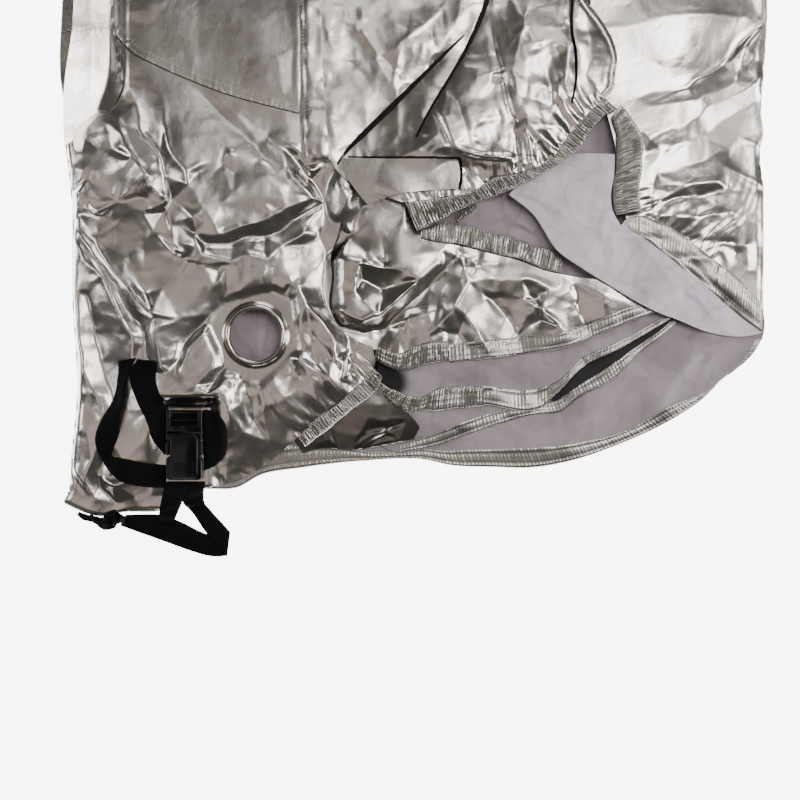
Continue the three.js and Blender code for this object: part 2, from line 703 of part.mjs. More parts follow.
function eyeletRing() {
  const { inner, outer, barrel, wall, crown, washer } = EYELET;
  const face = CLOTH + GAP;
  const foot = -GAP - washer - EYELET.foot;
  const top = face + crown;
  return lathe([
    [inner, foot], [inner + wall, foot], [barrel, face], [outer, face], [outer, face + EYELET.edge],
    [outer - EYELET.shoulder, top - EYELET.shoulderDrop], [outer - EYELET.flatTo, top],
    [inner + EYELET.flatFrom, top], [inner, face + EYELET.throat],
  ], ROUND);
}

function eyeletWasher() {
  const { outer, barrel, washer } = EYELET;
  return lathe([
    [barrel + GAP, -GAP - washer], [outer - 1, -GAP - washer], [outer - 1, -GAP], [barrel + GAP, -GAP],
  ], ROUND);
}

// Webbing: a flat strip between two sides, a row for each station. It lies on the cloth under
// it, lifted by the given amount, or by one amount at each side where it is turned on edge.
const between = (from, to, share) => from.map((value, k) => value + share * (to[k] - value));

function seatAt(rows, k) {
  const shares = [0, 0.25, 0.5, 0.75, 1];
  const near = [rows[Math.max(k - 1, 0)], rows[Math.min(k + 1, rows.length - 1)]];
  const heights = near.flatMap((other) => shares.flatMap((across) => shares.slice(0, 3).map((along) => {
    const right = between(rows[k].right, other.right, along);
    const left = between(rows[k].left, other.left, along);
    return highestUnder([back, leftLower], ...between(right, left, across));
  })));
  return Math.max(...heights);
}

function webbing(rows, thickness = WEBBING_THICKNESS) {
  return stripSolid(rows.map((row, k) => {
    const seat = seatAt(rows, k);
    const [low, high] = [seat + row.lift, seat + (row.liftLeft ?? row.lift)];
    return [
      [...row.right, low], [...row.left, high],
      [...row.left, high + thickness], [...row.right, low + thickness],
    ];
  }));
}

const ON_CLOTH = 0.5;
const CROSSING = ON_CLOTH + WEBBING_THICKNESS + GAP;

// Both legs of the strap that is sewn on at the top, the left one looped round to the buckle
const LEFT_LEG = [
  { right: [-295, -112], left: [-277, -109], lift: ON_CLOTH },
  { right: [-296, -128], left: [-285.5, -126], lift: ON_CLOTH, liftLeft: 5 },
  { right: [-301, -150], left: [-291, -150], lift: ON_CLOTH, liftLeft: 8 },
  { right: [-314, -173], left: [-294, -173], lift: ON_CLOTH, liftLeft: 5 },
  { right: [-319, -191], left: [-297, -191], lift: ON_CLOTH },
  { right: [-314, -208], left: [-303, -205], lift: ON_CLOTH },
  { right: [-305, -222], left: [-299, -208], lift: ON_CLOTH },
  { right: [-292, -233], left: [-288, -210], lift: ON_CLOTH },
  { right: [-270, -238], left: [-270, -214], lift: ON_CLOTH },
  { right: [-248, -239], left: [-248, -216], lift: ON_CLOTH },
];
const RIGHT_LEG = [
  { right: [-275.5, -110], left: [-257, -113], lift: ON_CLOTH },
  { right: [-284, -128], left: [-258, -132], lift: ON_CLOTH },
  { right: [-276, -153], left: [-253, -147], lift: ON_CLOTH },
  { right: [-267, -172], left: [-246, -161], lift: ON_CLOTH },
  { right: [-260, -190], left: [-236, -180], lift: ON_CLOTH },
  { right: [-250, -206], left: [-228, -196], lift: ON_CLOTH },
];

// The long strap: down from the buckle, folded over at its far corner and back along the hem
const LOOP = [
  { right: [-233, -232.5], left: [-209, -232.5], lift: ON_CLOTH },
  { right: [-233, -252], left: [-211, -252], lift: ON_CLOTH },
  { right: [-222, -266], left: [-203, -264], lift: ON_CLOTH },
  { right: [-208, -286], left: [-190, -278], lift: WEBBING_THICKNESS + GAP },
  { right: [-188, -308], left: [-185, -284], lift: WEBBING_THICKNESS + GAP },
];
const HEM_RUN = [
  { right: [-185, -284], left: [-188, -308], lift: 0 },
  { right: [-208, -286], left: [-204, -308.5], lift: 0 },
  { right: [-234, -274], left: [-223, -303.6], lift: 0 },
  { right: [-256, -266.5], left: [-250, -294], lift: 0 },
  { right: [-290, -266.5], left: [-296, -277.5], lift: 0 },
];
const TAIL = [
  { right: [-247, -232.5], left: [-224, -232.5], lift: CROSSING },
  { right: [-253, -250], left: [-232, -252], lift: CROSSING },
  { right: [-257, -272], left: [-241, -273], lift: WEBBING_THICKNESS + 1.3 },
];
const LOOP_CORNER = [[-186.5, -283], [-184, -284], [-187, -308.5], [-189, -307]];
const SIDE_FOLD = [
  { right: [-210.4, -161], left: [-201, -161], lift: ON_CLOTH },
  { right: [-210.4, -176], left: [-188, -176], lift: ON_CLOTH },
  { right: [-210.4, -204], left: [-188, -204], lift: ON_CLOTH },
  { right: [-210.4, -222], left: [-199, -217], lift: ON_CLOTH },
];

// The knotted end: a narrow strip, turned about its own line as it goes
const KNOT = { width: 9, thickness: 4, turn: 55 };
const KNOT_ROUTE = [
  [-299.2, -269.6], [-305, -275], [-311, -278], [-318, -277.5], [-323, -273.5], [-331, -271.5],
  [-339, -267.5],
];

function knottedEnd() {
  return stripSolid(KNOT_ROUTE.map(([x, y], k) => {
    const angle = THREE.MathUtils.degToRad(k * KNOT.turn);
    const before = KNOT_ROUTE[Math.max(k - 1, 0)];
    const after = KNOT_ROUTE[Math.min(k + 1, KNOT_ROUTE.length - 1)];
    const along = new THREE.Vector3(after[0] - before[0], after[1] - before[1], 0).normalize();
    const side = new THREE.Vector3(-along.y, along.x, 0).applyAxisAngle(along, angle);
    const up = new THREE.Vector3().crossVectors(along, side);
    const [halfWidth, half] = [KNOT.width / 2, KNOT.thickness / 2];
    const rise = Math.abs(side.z) * halfWidth + Math.abs(up.z) * half;
    return [[-1, -1], [1, -1], [1, 1], [-1, 1]].map(([across, lift]) => new THREE.Vector3(x, y, rise)
      .addScaledVector(side, across * halfWidth).addScaledVector(up, lift * half).toArray());
  }));
}

// The side-release buckle, lying on its back
function rounded(width, length, corner) {
  const [x, y] = [width / 2, length / 2];
  const shape = new THREE.Shape();
  shape.moveTo(x, y - corner);
  shape.absarc(x - corner, y - corner, corner, 0, Math.PI / 2);
  shape.absarc(corner - x, y - corner, corner, Math.PI / 2, Math.PI);
  shape.absarc(corner - x, corner - y, corner, Math.PI, 1.5 * Math.PI);
  shape.absarc(x - corner, corner - y, corner, 1.5 * Math.PI, 2 * Math.PI);
  return shape;
}

function bevelled(shape, thickness, bevel) {
  return new THREE.ExtrudeGeometry(shape, {
    depth: thickness - 2 * bevel, bevelThickness: bevel, bevelSize: bevel, bevelOffset: -bevel,
    bevelSegments: 1, curveSegments: 3,
  }).translate(0, 0, bevel);
}

function bucklePlug() {
  const { width, plug, plugThickness, corner, bevel } = BUCKLE;
  return bevelled(rounded(width, plug, corner), plugThickness, bevel);
}

function buckleSocket() {
  const { width, length, plug, socketThickness, corner, bevel } = BUCKLE;
  return bevelled(rounded(width, length - plug - GAP, corner), socketThickness, bevel);
}

const cover = new THREE.Group();

const CLOTH_SILVER = { color: 0xa8a5a3, roughness: 0.32, metalness: 0.75 };
const CLOTH_INSIDE = { color: 0xb9b3bf, roughness: 0.8, metalness: 0 };
const ELASTIC_HEM = { color: 0x8f8d8a, roughness: 0.4, metalness: 0.6 };
const NICKEL = { color: 0xb4aea6, roughness: 0.22, metalness: 1 };
const BLACK_WEBBING = { color: 0x0c0c0e, roughness: 0.8, metalness: 0 };
const BLACK_PLASTIC = { color: 0x08080a, roughness: 0.25, metalness: 0 };

function place(name, geometry, look, position = [0, 0, 0]) {
  const mesh = new THREE.Mesh(geometry, new THREE.MeshStandardMaterial(look));
  mesh.name = name;
  mesh.position.set(...position);
  cover.add(mesh);
  return mesh;
}

place('back_panel', geometryFrom(backSolid), CLOTH_SILVER);
place('third_layer', geometryFrom(third.solid), CLOTH_INSIDE);
place('second_layer', geometryFrom(second.solid), CLOTH_INSIDE);
place('front_skirt', geometryFrom(skirt.solid), CLOTH_SILVER);
place('turned_flap', geometryFrom(flap.solid), CLOTH_INSIDE);
place('left_panel', geometryFrom(leftSolid), CLOTH_SILVER);
place('upper_left_panel', geometryFrom(upperLeftSolid), CLOTH_SILVER);
place('corner_fold', geometryFrom(corner.solid), CLOTH_SILVER);
place('centre_panel', geometryFrom(centreSolid), CLOTH_SILVER);
for (const [name, band] of Object.entries(BANDS)) {
  place(name, elasticBand(band), ELASTIC_HEM);
}
const eyeletSeat = [EYELET.x, EYELET.y, EYELET.height];
place('eyelet_ring', eyeletRing(), NICKEL, eyeletSeat);
place('eyelet_washer', eyeletWasher(), NICKEL, eyeletSeat);

const solidOf = (rows) => solidFrom(webbing(rows));
const loopCorner = prism(LOOP_CORNER, WEBBING_THICKNESS * FOLD_LAP, WEBBING_THICKNESS * (2 - FOLD_LAP) + GAP);
place('strap_left_leg', webbing(LEFT_LEG), BLACK_WEBBING);
place('strap_right_leg', webbing(RIGHT_LEG), BLACK_WEBBING);
place('strap_loop', geometryFrom(join(solidOf(LOOP), solidOf(HEM_RUN), loopCorner)), BLACK_WEBBING);
place('strap_tail', webbing(TAIL), BLACK_WEBBING);
place('strap_knot', knottedEnd(), BLACK_WEBBING);
const buckleBase = BUCKLE.height + CLOTH + CROSSING;
const plugSeat = [BUCKLE.x, BUCKLE.y + (BUCKLE.length - BUCKLE.plug) / 2, buckleBase + BUCKLE.plugLift];
const socketSeat = [BUCKLE.x, BUCKLE.y - (BUCKLE.plug + GAP) / 2, buckleBase];
place('strap_side_fold', webbing(SIDE_FOLD, 2 * WEBBING_THICKNESS), BLACK_WEBBING);
place('buckle_plug', bucklePlug(), BLACK_PLASTIC, plugSeat);
place('buckle_socket', buckleSocket(), BLACK_PLASTIC, socketSeat);

export default cover;
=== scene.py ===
import math
from collections import namedtuple

import bpy
import numpy as np
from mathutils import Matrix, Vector
from mathutils.geometry import delaunay_2d_cdt


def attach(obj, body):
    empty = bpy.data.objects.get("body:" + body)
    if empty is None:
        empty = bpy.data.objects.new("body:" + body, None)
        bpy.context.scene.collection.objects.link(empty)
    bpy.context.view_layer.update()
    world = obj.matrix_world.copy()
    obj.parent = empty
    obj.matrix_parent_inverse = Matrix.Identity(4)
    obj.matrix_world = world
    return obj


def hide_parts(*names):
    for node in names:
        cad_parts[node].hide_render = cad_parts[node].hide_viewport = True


# A silver coated motorcycle cover, folded flat and seen from above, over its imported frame

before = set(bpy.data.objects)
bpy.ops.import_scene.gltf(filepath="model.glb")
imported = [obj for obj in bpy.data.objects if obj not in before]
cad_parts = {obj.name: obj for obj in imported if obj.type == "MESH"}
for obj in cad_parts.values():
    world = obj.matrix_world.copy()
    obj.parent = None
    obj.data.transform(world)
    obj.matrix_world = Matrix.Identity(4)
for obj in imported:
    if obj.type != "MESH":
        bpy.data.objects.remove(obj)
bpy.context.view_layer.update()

# Tables and height fields are in millimetres, meshes in metres. +X is right, +Y towards the
# upper folded edge, +Z up off the surface.
MM = 0.001
# The grid's pitch, a sheet's thickness and the gap between two sheets
CELL = 1.8
CLOTH = 0.8
GAP = 0.35
GRID_LEFT = -362.0
GRID_NEAR = -314.0
GRID_COLUMNS = 403
GRID_ROWS = 349

XS = GRID_LEFT + CELL * np.arange(GRID_COLUMNS)
YS = GRID_NEAR + CELL * np.arange(GRID_ROWS)
X, Y = np.meshgrid(XS, YS)

# Edges and seams of the folded cover, in plan
LEFT_EDGE = [
    (-354, 249), (-356, 176), (-352, 147), (-350, 100), (-346, 70), (-344, 49),
    (-344, -31), (-339, -151), (-344, -201), (-349, -246), (-353, -254),
]
LOWER_LEFT_EDGE = [
    (-353, -254), (-339, -261), (-314, -268), (-294, -264), (-254, -262), (-209, -240),
]
LOWER_HEM = [
    (-209, -240), (-179, -239), (-154, -226), (-114, -219), (-54, -212), (14, -211),
    (36, -216), (77, -218), (126, -218), (161, -211), (202, -197), (258, -171),
    (290, -150), (306, -134), (342, -103), (351, -88),
]
RIGHT_EDGE = [
    (351, -88), (351.5, -50), (352, -10), (352, 19), (352, 59), (349, 105), (352, 117), (350, 132),
    (352, 176), (355, 220), (356, 249), (354, 298),
]
TOP_EDGE = [
    (354, 298), (346, 308), (240, 306), (161, 309), (20, 307), (-110, 309), (-340, 308),
    (-352, 299),
]
SEAM = [
    (-355, 221), (-339, 217), (-304, 222), (-296, 212), (-282, 196), (-258, 183), (-222, 167),
    (-185, 153), (-145, 142), (-110, 134), (-74, 132),
]
TURNED_HEM_OUTER = [
    (211, 29), (226, 33), (243, 27), (258, 20), (300, -11), (331, -35), (348, -54),
]
TURNED_HEM_INNER = [(213, 20), (244, -2), (269, -22), (295, -42), (330, -71), (349, -84)]
SKIRT_HEM = [
    (246, -61), (226, -68), (189, -83), (150, -98), (112, -104), (65, -110), (36, -113),
]
SECOND_HEM = [(258, -69), (206, -99), (170, -117), (142, -145), (127, -158), (70, -155)]
THIRD_HEM = [
    (268, -69), (244, -89), (226, -102), (214, -114), (200, -129), (164, -148), (146, -162),
    (126, -164), (56, -185), (26, -196), (-14, -203),
]
MOUTH_EDGE = [
    (-9, 45), (29, 51), (57, 55), (78, 69), (110, 76), (134, 86), (151, 109), (171, 132),
    (190, 150),
]


# Plan geometry
def smooth_step(value):
    t = np.clip(value, 0.0, 1.0)
    return t * t * (3.0 - 2.0 * t)


def curve(points, closed=False, step=4.0, corner=48.0):
    """A smooth path through points, left sharp where it turns by more than corner degrees."""
    p = np.array(points, float)
    count = len(p)
    arriving, leaving = np.zeros_like(p), np.zeros_like(p)
    for k in range(count):
        before = p[k] - p[k - 1] if closed or k > 0 else p[1] - p[0]
        after = p[(k + 1) % count] - p[k] if closed or k < count - 1 else p[-1] - p[-2]
        lengths = np.hypot(*before), np.hypot(*after)
        units = before / lengths[0], after / lengths[1]
        turn = math.degrees(math.acos(float(np.clip(units[0] @ units[1], -1, 1))))
        if turn > corner:
            arriving[k], leaving[k] = units
        else:
            mixed = units[0] * lengths[1] + units[1] * lengths[0]
            arriving[k] = leaving[k] = mixed / np.hypot(*mixed)
    path = []
    for k in range(count if closed else count - 1):
        a, b = p[k], p[(k + 1) % count]
        length = np.hypot(*(b - a))
        pieces = max(1, round(length / step))
        for t in np.arange(pieces) / pieces:
            path.append(
                (2 * t**3 - 3 * t**2 + 1) * a
                + (t**3 - 2 * t**2 + t) * length * leaving[k]
                + (3 * t**2 - 2 * t**3) * b
                + (t**3 - t**2) * length * arriving[(k + 1) % count]
            )
    if not closed:
        path.append(p[-1])
    return np.array(path)


def arc_lengths(path):
    return np.concatenate([[0.0], np.cumsum(np.hypot(*np.diff(path, axis=0).T))])


def even(path, count):
    """A path's points at even steps."""
    lengths = arc_lengths(path)
    where = np.linspace(0.0, lengths[-1], count + 1)
    return np.column_stack([np.interp(where, lengths, path[:, k]) for k in (0, 1)])


def window_of(low, high, reach=0.0):
    """The grid's cells in a box between two corners, widened by reach."""
    i0, i1 = np.searchsorted(XS, [low[0] - reach, high[0] + reach])
    j0, j1 = np.searchsorted(YS, [low[1] - reach, high[1] + reach])
    return np.s_[j0:j1, i0:i1]


def along(path, reach, closed=False):
    """Distance to a path, how far along it, and its side: above 0 to its left. Capped at reach."""
    distance = np.full(X.shape, float(reach))
    position = np.zeros(X.shape)
    side = np.ones(X.shape)
    ends = np.vstack([path, path[:1]]) if closed else path
    start = 0.0
    for a, b in zip(ends[:-1], ends[1:]):
        length = float(np.hypot(*(b - a)))
        if length < 1e-6:
            continue
        ux, uy = (b - a) / length
        window = window_of(np.minimum(a, b), np.maximum(a, b), reach)
        dx, dy = X[window] - a[0], Y[window] - a[1]
        t = np.clip(dx * ux + dy * uy, 0.0, length)
        away = np.hypot(dx - t * ux, dy - t * uy)
        nearer = away < distance[window]
        distance[window][nearer] = away[nearer]
        position[window][nearer] = start + t[nearer]
        side[window][nearer] = np.where(ux * dy - uy * dx > 0, 1.0, -1.0)[nearer]
        start += length
    return distance, position, side


def inset(outline, reach=110.0):
    """Distance to a closed outline on the grid, above 0 inside it."""
    inside = np.zeros(X.shape, bool)
    for (ax, ay), (bx, by) in zip(outline, np.roll(outline, -1, axis=0)):
        if ay == by:
            continue
        low, high = min(ay, by), max(ay, by)
        for j in range(max(int(np.ceil((low - YS[0]) / CELL)), 0), GRID_ROWS):
            if YS[j] >= high:
                break
            x = ax + (YS[j] - ay) / (by - ay) * (bx - ax)
            inside[j, max(int(np.ceil((x - XS[0]) / CELL)), 0):] ^= True
    distance, _, _ = along(outline, reach, closed=True)
    return np.where(inside, distance, -distance)


def left_of(path, closed=False):
    """The unit direction to a path's left at each of its points."""
    ahead = np.roll(path, -1, 0) - np.roll(path, 1, 0) if closed else np.gradient(path, axis=0)
    ahead /= np.hypot(*ahead.T)[:, None]
    return np.column_stack([-ahead[:, 1], ahead[:, 0]])


def offset(path, distance):
    """A path moved sideways, to its left for a distance above 0."""
    return path + distance * left_of(path)


def bilinear(values, i, j, s, t):
    near = values[j, i] * (1 - s) + values[j, i + 1] * s
    far = values[j + 1, i] * (1 - s) + values[j + 1, i + 1] * s
    return near * (1 - t) + far * t


def at(field, x, y):
    """A field's value between the grid's points."""
    u = np.clip((np.asarray(x) - XS[0]) / CELL, 0, GRID_COLUMNS - 1.001)
    v = np.clip((np.asarray(y) - YS[0]) / CELL, 0, GRID_ROWS - 1.001)
    i, j = u.astype(int), v.astype(int)
    return bilinear(field, i, j, u - i, v - j)


# Fields on the grid
def blur(field, width):
    pad = int(3 * width / CELL) + 1
    wide = np.pad(field, pad, mode="edge")
    rows = np.fft.fftfreq(wide.shape[0], CELL)[:, None]
    columns = np.fft.rfftfreq(wide.shape[1], CELL)[None, :]
    gain = np.exp(-2.0 * (math.pi * width) ** 2 * (rows**2 + columns**2))
    return np.fft.irfft2(np.fft.rfft2(wide) * gain, wide.shape)[pad:-pad, pad:-pad]


def dilate(field, cells):
    for _ in range(cells):
        wide = np.pad(field, 1, mode="edge")
        rows = np.maximum(np.maximum(wide[:-2], wide[1:-1]), wide[2:])
        field = np.maximum(np.maximum(rows[:, :-2], rows[:, 1:-1]), rows[:, 2:])
    return field


def noise(scale, seed, x=X, y=Y):
    """Smooth noise from -1 to 1 with lumps of that size."""
    values = np.random.default_rng(seed).uniform(-1.0, 1.0, (256, 256))
    u, v = x / scale + 128.0, y / scale + 128.0
    i, j = np.floor(u).astype(int) % 255, np.floor(v).astype(int) % 255
    s, t = (share**3 * (share * (6 * share - 15) + 10) for share in (u - np.floor(u), v - np.floor(v)))
    return bilinear(values, i, j, s, t)


def wandering(position, pitch, seed):
    """Noise from -1 to 1 along a line."""
    values = np.random.default_rng(seed).uniform(-1.0, 1.0, 4096)
    u = np.abs(position) / pitch
    i = np.floor(u).astype(int) % 4095
    s = smooth_step(u - np.floor(u))
    return values[i] * (1 - s) + values[i + 1] * s


def triangle_wave(phase):
    return 2.0 * np.abs(2.0 * (phase - np.floor(phase)) - 1.0) - 1.0


Fold = namedtuple("Fold", "height left right sharp path")


def folds(table):
    """Ridges, or troughs below 0: height, width to the left and right, how sharp, and its line."""
    total = np.zeros(X.shape)
    for fold in table:
        path = curve(fold.path)
        reach = 4.0 * max(fold.left, fold.right)
        distance, position, side = along(path, reach)
        length = arc_lengths(path)[-1]
        width = np.where(side > 0, fold.left, fold.right)
        u = distance / width
        fade = smooth_step(np.minimum(position, length - position) / (0.3 * length) + 0.15)
        profile = fold.sharp * np.exp(-1.3 * u) + (1 - fold.sharp) * np.exp(-u * u)
        outside = smooth_step((reach - distance) / (0.35 * reach))
        total += fold.height * fade * profile * outside
    return total


# Crease lines are warped by noise of these sizes and heights, and so move by up to their sum
WARP = ((40.0, 4.0), (15.0, 1.6))
WARP_REACH = 5.0


def triangles_over(points, faces, x, y):
    """The height of a triangulated surface at every point of the grid."""
    total = np.zeros(X.shape)
    for face in faces:
        a, b, c = points[list(face)]
        double_area = (b[0] - a[0]) * (c[1] - a[1]) - (c[0] - a[0]) * (b[1] - a[1])
        if abs(double_area) < 1e-6:
            continue
        window = window_of(np.min([a, b, c], axis=0), np.max([a, b, c], axis=0), WARP_REACH)
        dx, dy = x[window] - a[0], y[window] - a[1]
        s = (dx * (c[1] - a[1]) - dy * (c[0] - a[0])) / double_area
        t = (dy * (b[0] - a[0]) - dx * (b[1] - a[1])) / double_area
        inside = (s >= -1e-6) & (t >= -1e-6) & (s + t <= 1 + 1e-6)
        height = a[2] + s * (b[2] - a[2]) + t * (c[2] - a[2])
        total[window][inside] = height[inside]
    return total


def faceted(lines, seed, relief, spacing=36.0, clear=19.0, ridge=1.3):
    """Soft faces that meet in ridges at crease lines, given as x, y and height at each turn."""
    rng = np.random.default_rng(seed)
    points, edges = [], []
    for line in lines:
        edges.extend((len(points) + k, len(points) + k + 1) for k in range(len(line) - 1))
        points.extend(line)
    dense = np.vstack([even(np.array(line, float)[:, :2], 60) for line in lines])
    for y in np.arange(YS[0] - spacing, YS[-1] + 2 * spacing, spacing):
        for x in np.arange(XS[0] - spacing, XS[-1] + 2 * spacing, spacing):
            px, py = np.array([x, y]) + rng.uniform(-0.35, 0.35, 2) * spacing
            rise = rng.uniform(-relief, relief)
            if np.hypot(dense[:, 0] - px, dense[:, 1] - py).min() > clear:
                points.append((px, py, rise))
    placed = np.array(points, float)
    flat = [Vector(p[:2]) for p in placed]
    found, _, faces, origins, _, _ = delaunay_2d_cdt(flat, edges, [], 0, 0.01)
    heights = []
    for corner, origin in zip(found, origins):
        if origin:
            heights.append(placed[origin, 2].mean())
        else:
            near = 1.0 / (np.hypot(placed[:, 0] - corner[0], placed[:, 1] - corner[1]) ** 3 + 1e-6)
            heights.append(float(near @ placed[:, 2] / near.sum()))
    corners = np.column_stack([np.array([tuple(v) for v in found]), heights])
    (wide, far), (narrow, near) = WARP
    x = X + far * noise(wide, seed + 1) + near * noise(narrow, seed + 3)
    y = Y + far * noise(wide, seed + 2) + near * noise(narrow, seed + 4)
    sharp = triangles_over(corners, faces, x, y)
    fine, soft = blur(sharp, 1.2), blur(sharp, 7.0)
    marked = np.zeros(X.shape)
    marked[np.searchsorted(YS, dense[:, 1]) - 1, np.searchsorted(XS, dense[:, 0]) - 1] = 1.0
    placed_here = np.clip(1.8 * blur(dilate(marked, 2), 4.5), 0.12, 1.0)
    return soft + placed_here * (0.28 * (fine - soft) + ridge * (fine - blur(sharp, 3.6)))


def wrinkles(scale, seed, crest=0.12):
    """Curved ridges with soft hollows between them, from about 0 to 1."""
    x = X + 0.4 * scale * noise(1.5 * scale, seed + 1)
    y = Y + 0.4 * scale * noise(1.5 * scale, seed + 2)
    field = noise(scale, seed, x, y)
    return 1.0 - np.sqrt(field * field + crest * crest)


def creases(seed, count, box, length, width, height):
    """Short random creases, ridges and troughs alike, in a box of the grid."""
    rng = np.random.default_rng(seed)
    wx, wy = X + 5.0 * noise(38.0, seed + 7), Y + 5.0 * noise(38.0, seed + 8)
    total = np.zeros(X.shape)
    for _ in range(count):
        x, y = rng.uniform(box[0], box[1]), rng.uniform(box[2], box[3])
        angle = rng.uniform(0, math.pi)
        half, across = rng.uniform(*length) / 2, rng.uniform(*width)
        size = rng.uniform(*height) * rng.choice([-1.0, 1.0])
        other = across * rng.uniform(0.4, 1.0)
        window = window_of((x, y), (x, y), half + 4 * across)
        if min(X[window].shape) < 2:
            continue
        dx, dy = wx[window] - x, wy[window] - y
        t = dx * math.cos(angle) + dy * math.sin(angle)
        n = dy * math.cos(angle) - dx * math.sin(angle)
        widths = np.where(n > 0, across, other)
        total[window] += size * np.exp(-np.abs(n) / widths) * np.exp(-((t / half) ** 4))
    return total


# How much longer the waves of each octave are, how much farther they reach, and their share
PUCKERS = [(1.0, 1.0, 1.0), (2.4, 2.4, 1.5), (5.0, 4.6, 1.8)]


def puckers(path, pitch, reach, height, seed, octaves=3):
    """Wrinkles that run out from a gathered edge, finer near it and wider away from it."""
    line = curve(path)
    total = np.zeros(X.shape)
    distance, position, _ = along(line, reach * 9)
    for octave, (grow, decay, share) in enumerate(PUCKERS[:octaves]):
        length = pitch * grow
        slant = 0.5 * noise(60.0, seed + 40 + octave) * distance / length
        phase = position / length + 0.8 * wandering(position, length * 2.7, seed + octave) + slant
        strength = 0.65 + 0.35 * wandering(position, length * 1.9, seed + 10 + octave)
        swell = np.exp(-distance / (reach * decay)) * smooth_step(distance / (length * 0.7) + 0.35)
        total += height * share * strength * triangle_wave(phase) * swell
    return total * smooth_step(3.0 - distance / (reach * 3))


# Meshes, in metres from points in millimetres
def smooth_mesh(name, points, faces, sharp=None):
    """A smooth shaded mesh with sharp edges where its faces turn by more degrees than sharp."""
    mesh = bpy.data.meshes.new(name)
    mesh.from_pydata((np.asarray(points).reshape(-1, 3) * MM).tolist(), [], faces)
    mesh.polygons.foreach_set("use_smooth", np.ones(len(mesh.polygons), bool))
    mesh.update()
    if sharp:
        mesh.set_sharp_from_angle(angle=math.radians(sharp))
    return mesh


def stacked_rings(start, rings, count):
    """Faces that join rings of points one above the other, closed at both ends."""
    faces = []
    for a in range(start, start + (rings - 1) * count, count):
        for k in range(count):
            n = (k + 1) % count
            faces.append((a + k, a + n, a + count + n, a + count + k))
    faces.append(tuple(start + k for k in reversed(range(count))))
    faces.append(tuple(start + (rings - 1) * count + k for k in range(count)))
    return faces


# Sheets: an outline, and the height of their underside and upper side
Sheet = namedtuple("Sheet", "inset bottom top")
# How softly a sheet bends over those under it, and how far past their edge they carry it
DRAPE = 6.0
DRAPE_REACH = 3.0
# How near to the grid's points, as a share of a cell, an outline may cut it
RIM_MARGIN = 0.06


def lay(outline, loft, under=(), detail=0.0, rolled=(), thickness=CLOTH, hole=None):
    """A sheet that is lofted, lies on the sheets under it and turns down at its rolled edges."""
    inside = inset(curve(outline, closed=True))
    if hole is not None:
        inside = np.minimum(inside, hole)
    soft, hard = np.zeros(X.shape), np.zeros(X.shape)
    for lower in under:
        soft = np.maximum(soft, np.where(lower.inset > -DRAPE_REACH, lower.top + GAP, 0.0))
        reached = np.where(lower.inset > -1.5 * CELL, lower.top, 0.0)
        hard = np.maximum(hard, dilate(reached, 1) + GAP * (reached > 0))
    draped = blur(dilate(soft, 2), DRAPE)
    bottom = np.maximum(loft, draped) + detail
    for path, radius, rim in rolled:
        distance, _, _ = along(curve(path), radius)
        share = np.sqrt(np.clip(1.0 - (1.0 - distance / radius) ** 2, 0.0, 1.0))
        bottom = rim + (bottom - rim) * share
    bottom = np.maximum(bottom, hard)
    return Sheet(inside, bottom, bottom + thickness)


def grid_mesh(name, sheet, stride=1):
    """A closed mesh of a sheet, cut along its outline. The second material is for its underside."""
    inside = sheet.inset[::stride, ::stride]
    top, bottom = sheet.top[::stride, ::stride], sheet.bottom[::stride, ::stride]
    xs, ys = X[::stride, ::stride], Y[::stride, ::stride]
    kept = inside > 0
    corner = np.full(kept.shape, -1)
    corner[kept] = np.arange(kept.sum())
    points = [np.column_stack([f[kept] for f in (xs, ys, top, bottom)])]
    count = int(kept.sum())
    crossings = []
    for first, second in ((np.s_[:, :-1], np.s_[:, 1:]), (np.s_[:-1, :], np.s_[1:, :])):
        crosses = kept[first] != kept[second]
        ids = np.full(crosses.shape, -1)
        ids[crosses] = count + np.arange(crosses.sum())
        count += int(crosses.sum())
        a, b = inside[first][crosses], inside[second][crosses]
        t = np.clip(a / (a - b), RIM_MARGIN, 1 - RIM_MARGIN)
        points.append(np.column_stack([
            f[first][crosses] * (1 - t) + f[second][crosses] * t for f in (xs, ys, top, bottom)
        ]))
        crossings.append(ids)
    across, upward = crossings
    places = [
        corner[:-1, :-1], across[:-1, :], corner[:-1, 1:], upward[:, 1:],
        corner[1:, 1:], across[1:, :], corner[1:, :-1], upward[:, :-1],
    ]
    flags = [kept[:-1, :-1], kept[:-1, 1:], kept[1:, 1:], kept[1:, :-1]]
    case = sum((flag.astype(int) << k) for k, flag in enumerate(flags))
    faces, edges = [], []
    for value in range(1, 16):
        where = case == value
        if not where.any():
            continue
        loop = []
        for k in range(4):
            if value >> k & 1:
                loop.append(places[2 * k][where])
            if (value >> k & 1) != (value >> ((k + 1) % 4) & 1):
                loop.append(places[2 * k + 1][where])
        loop = np.column_stack(loop)
        faces.extend(loop.tolist())
        for k in range(loop.shape[1]):
            edges.append(loop[:, [k, (k + 1) % loop.shape[1]]])
    return solid_sheet(name, np.vstack(points), faces, np.vstack(edges), count)


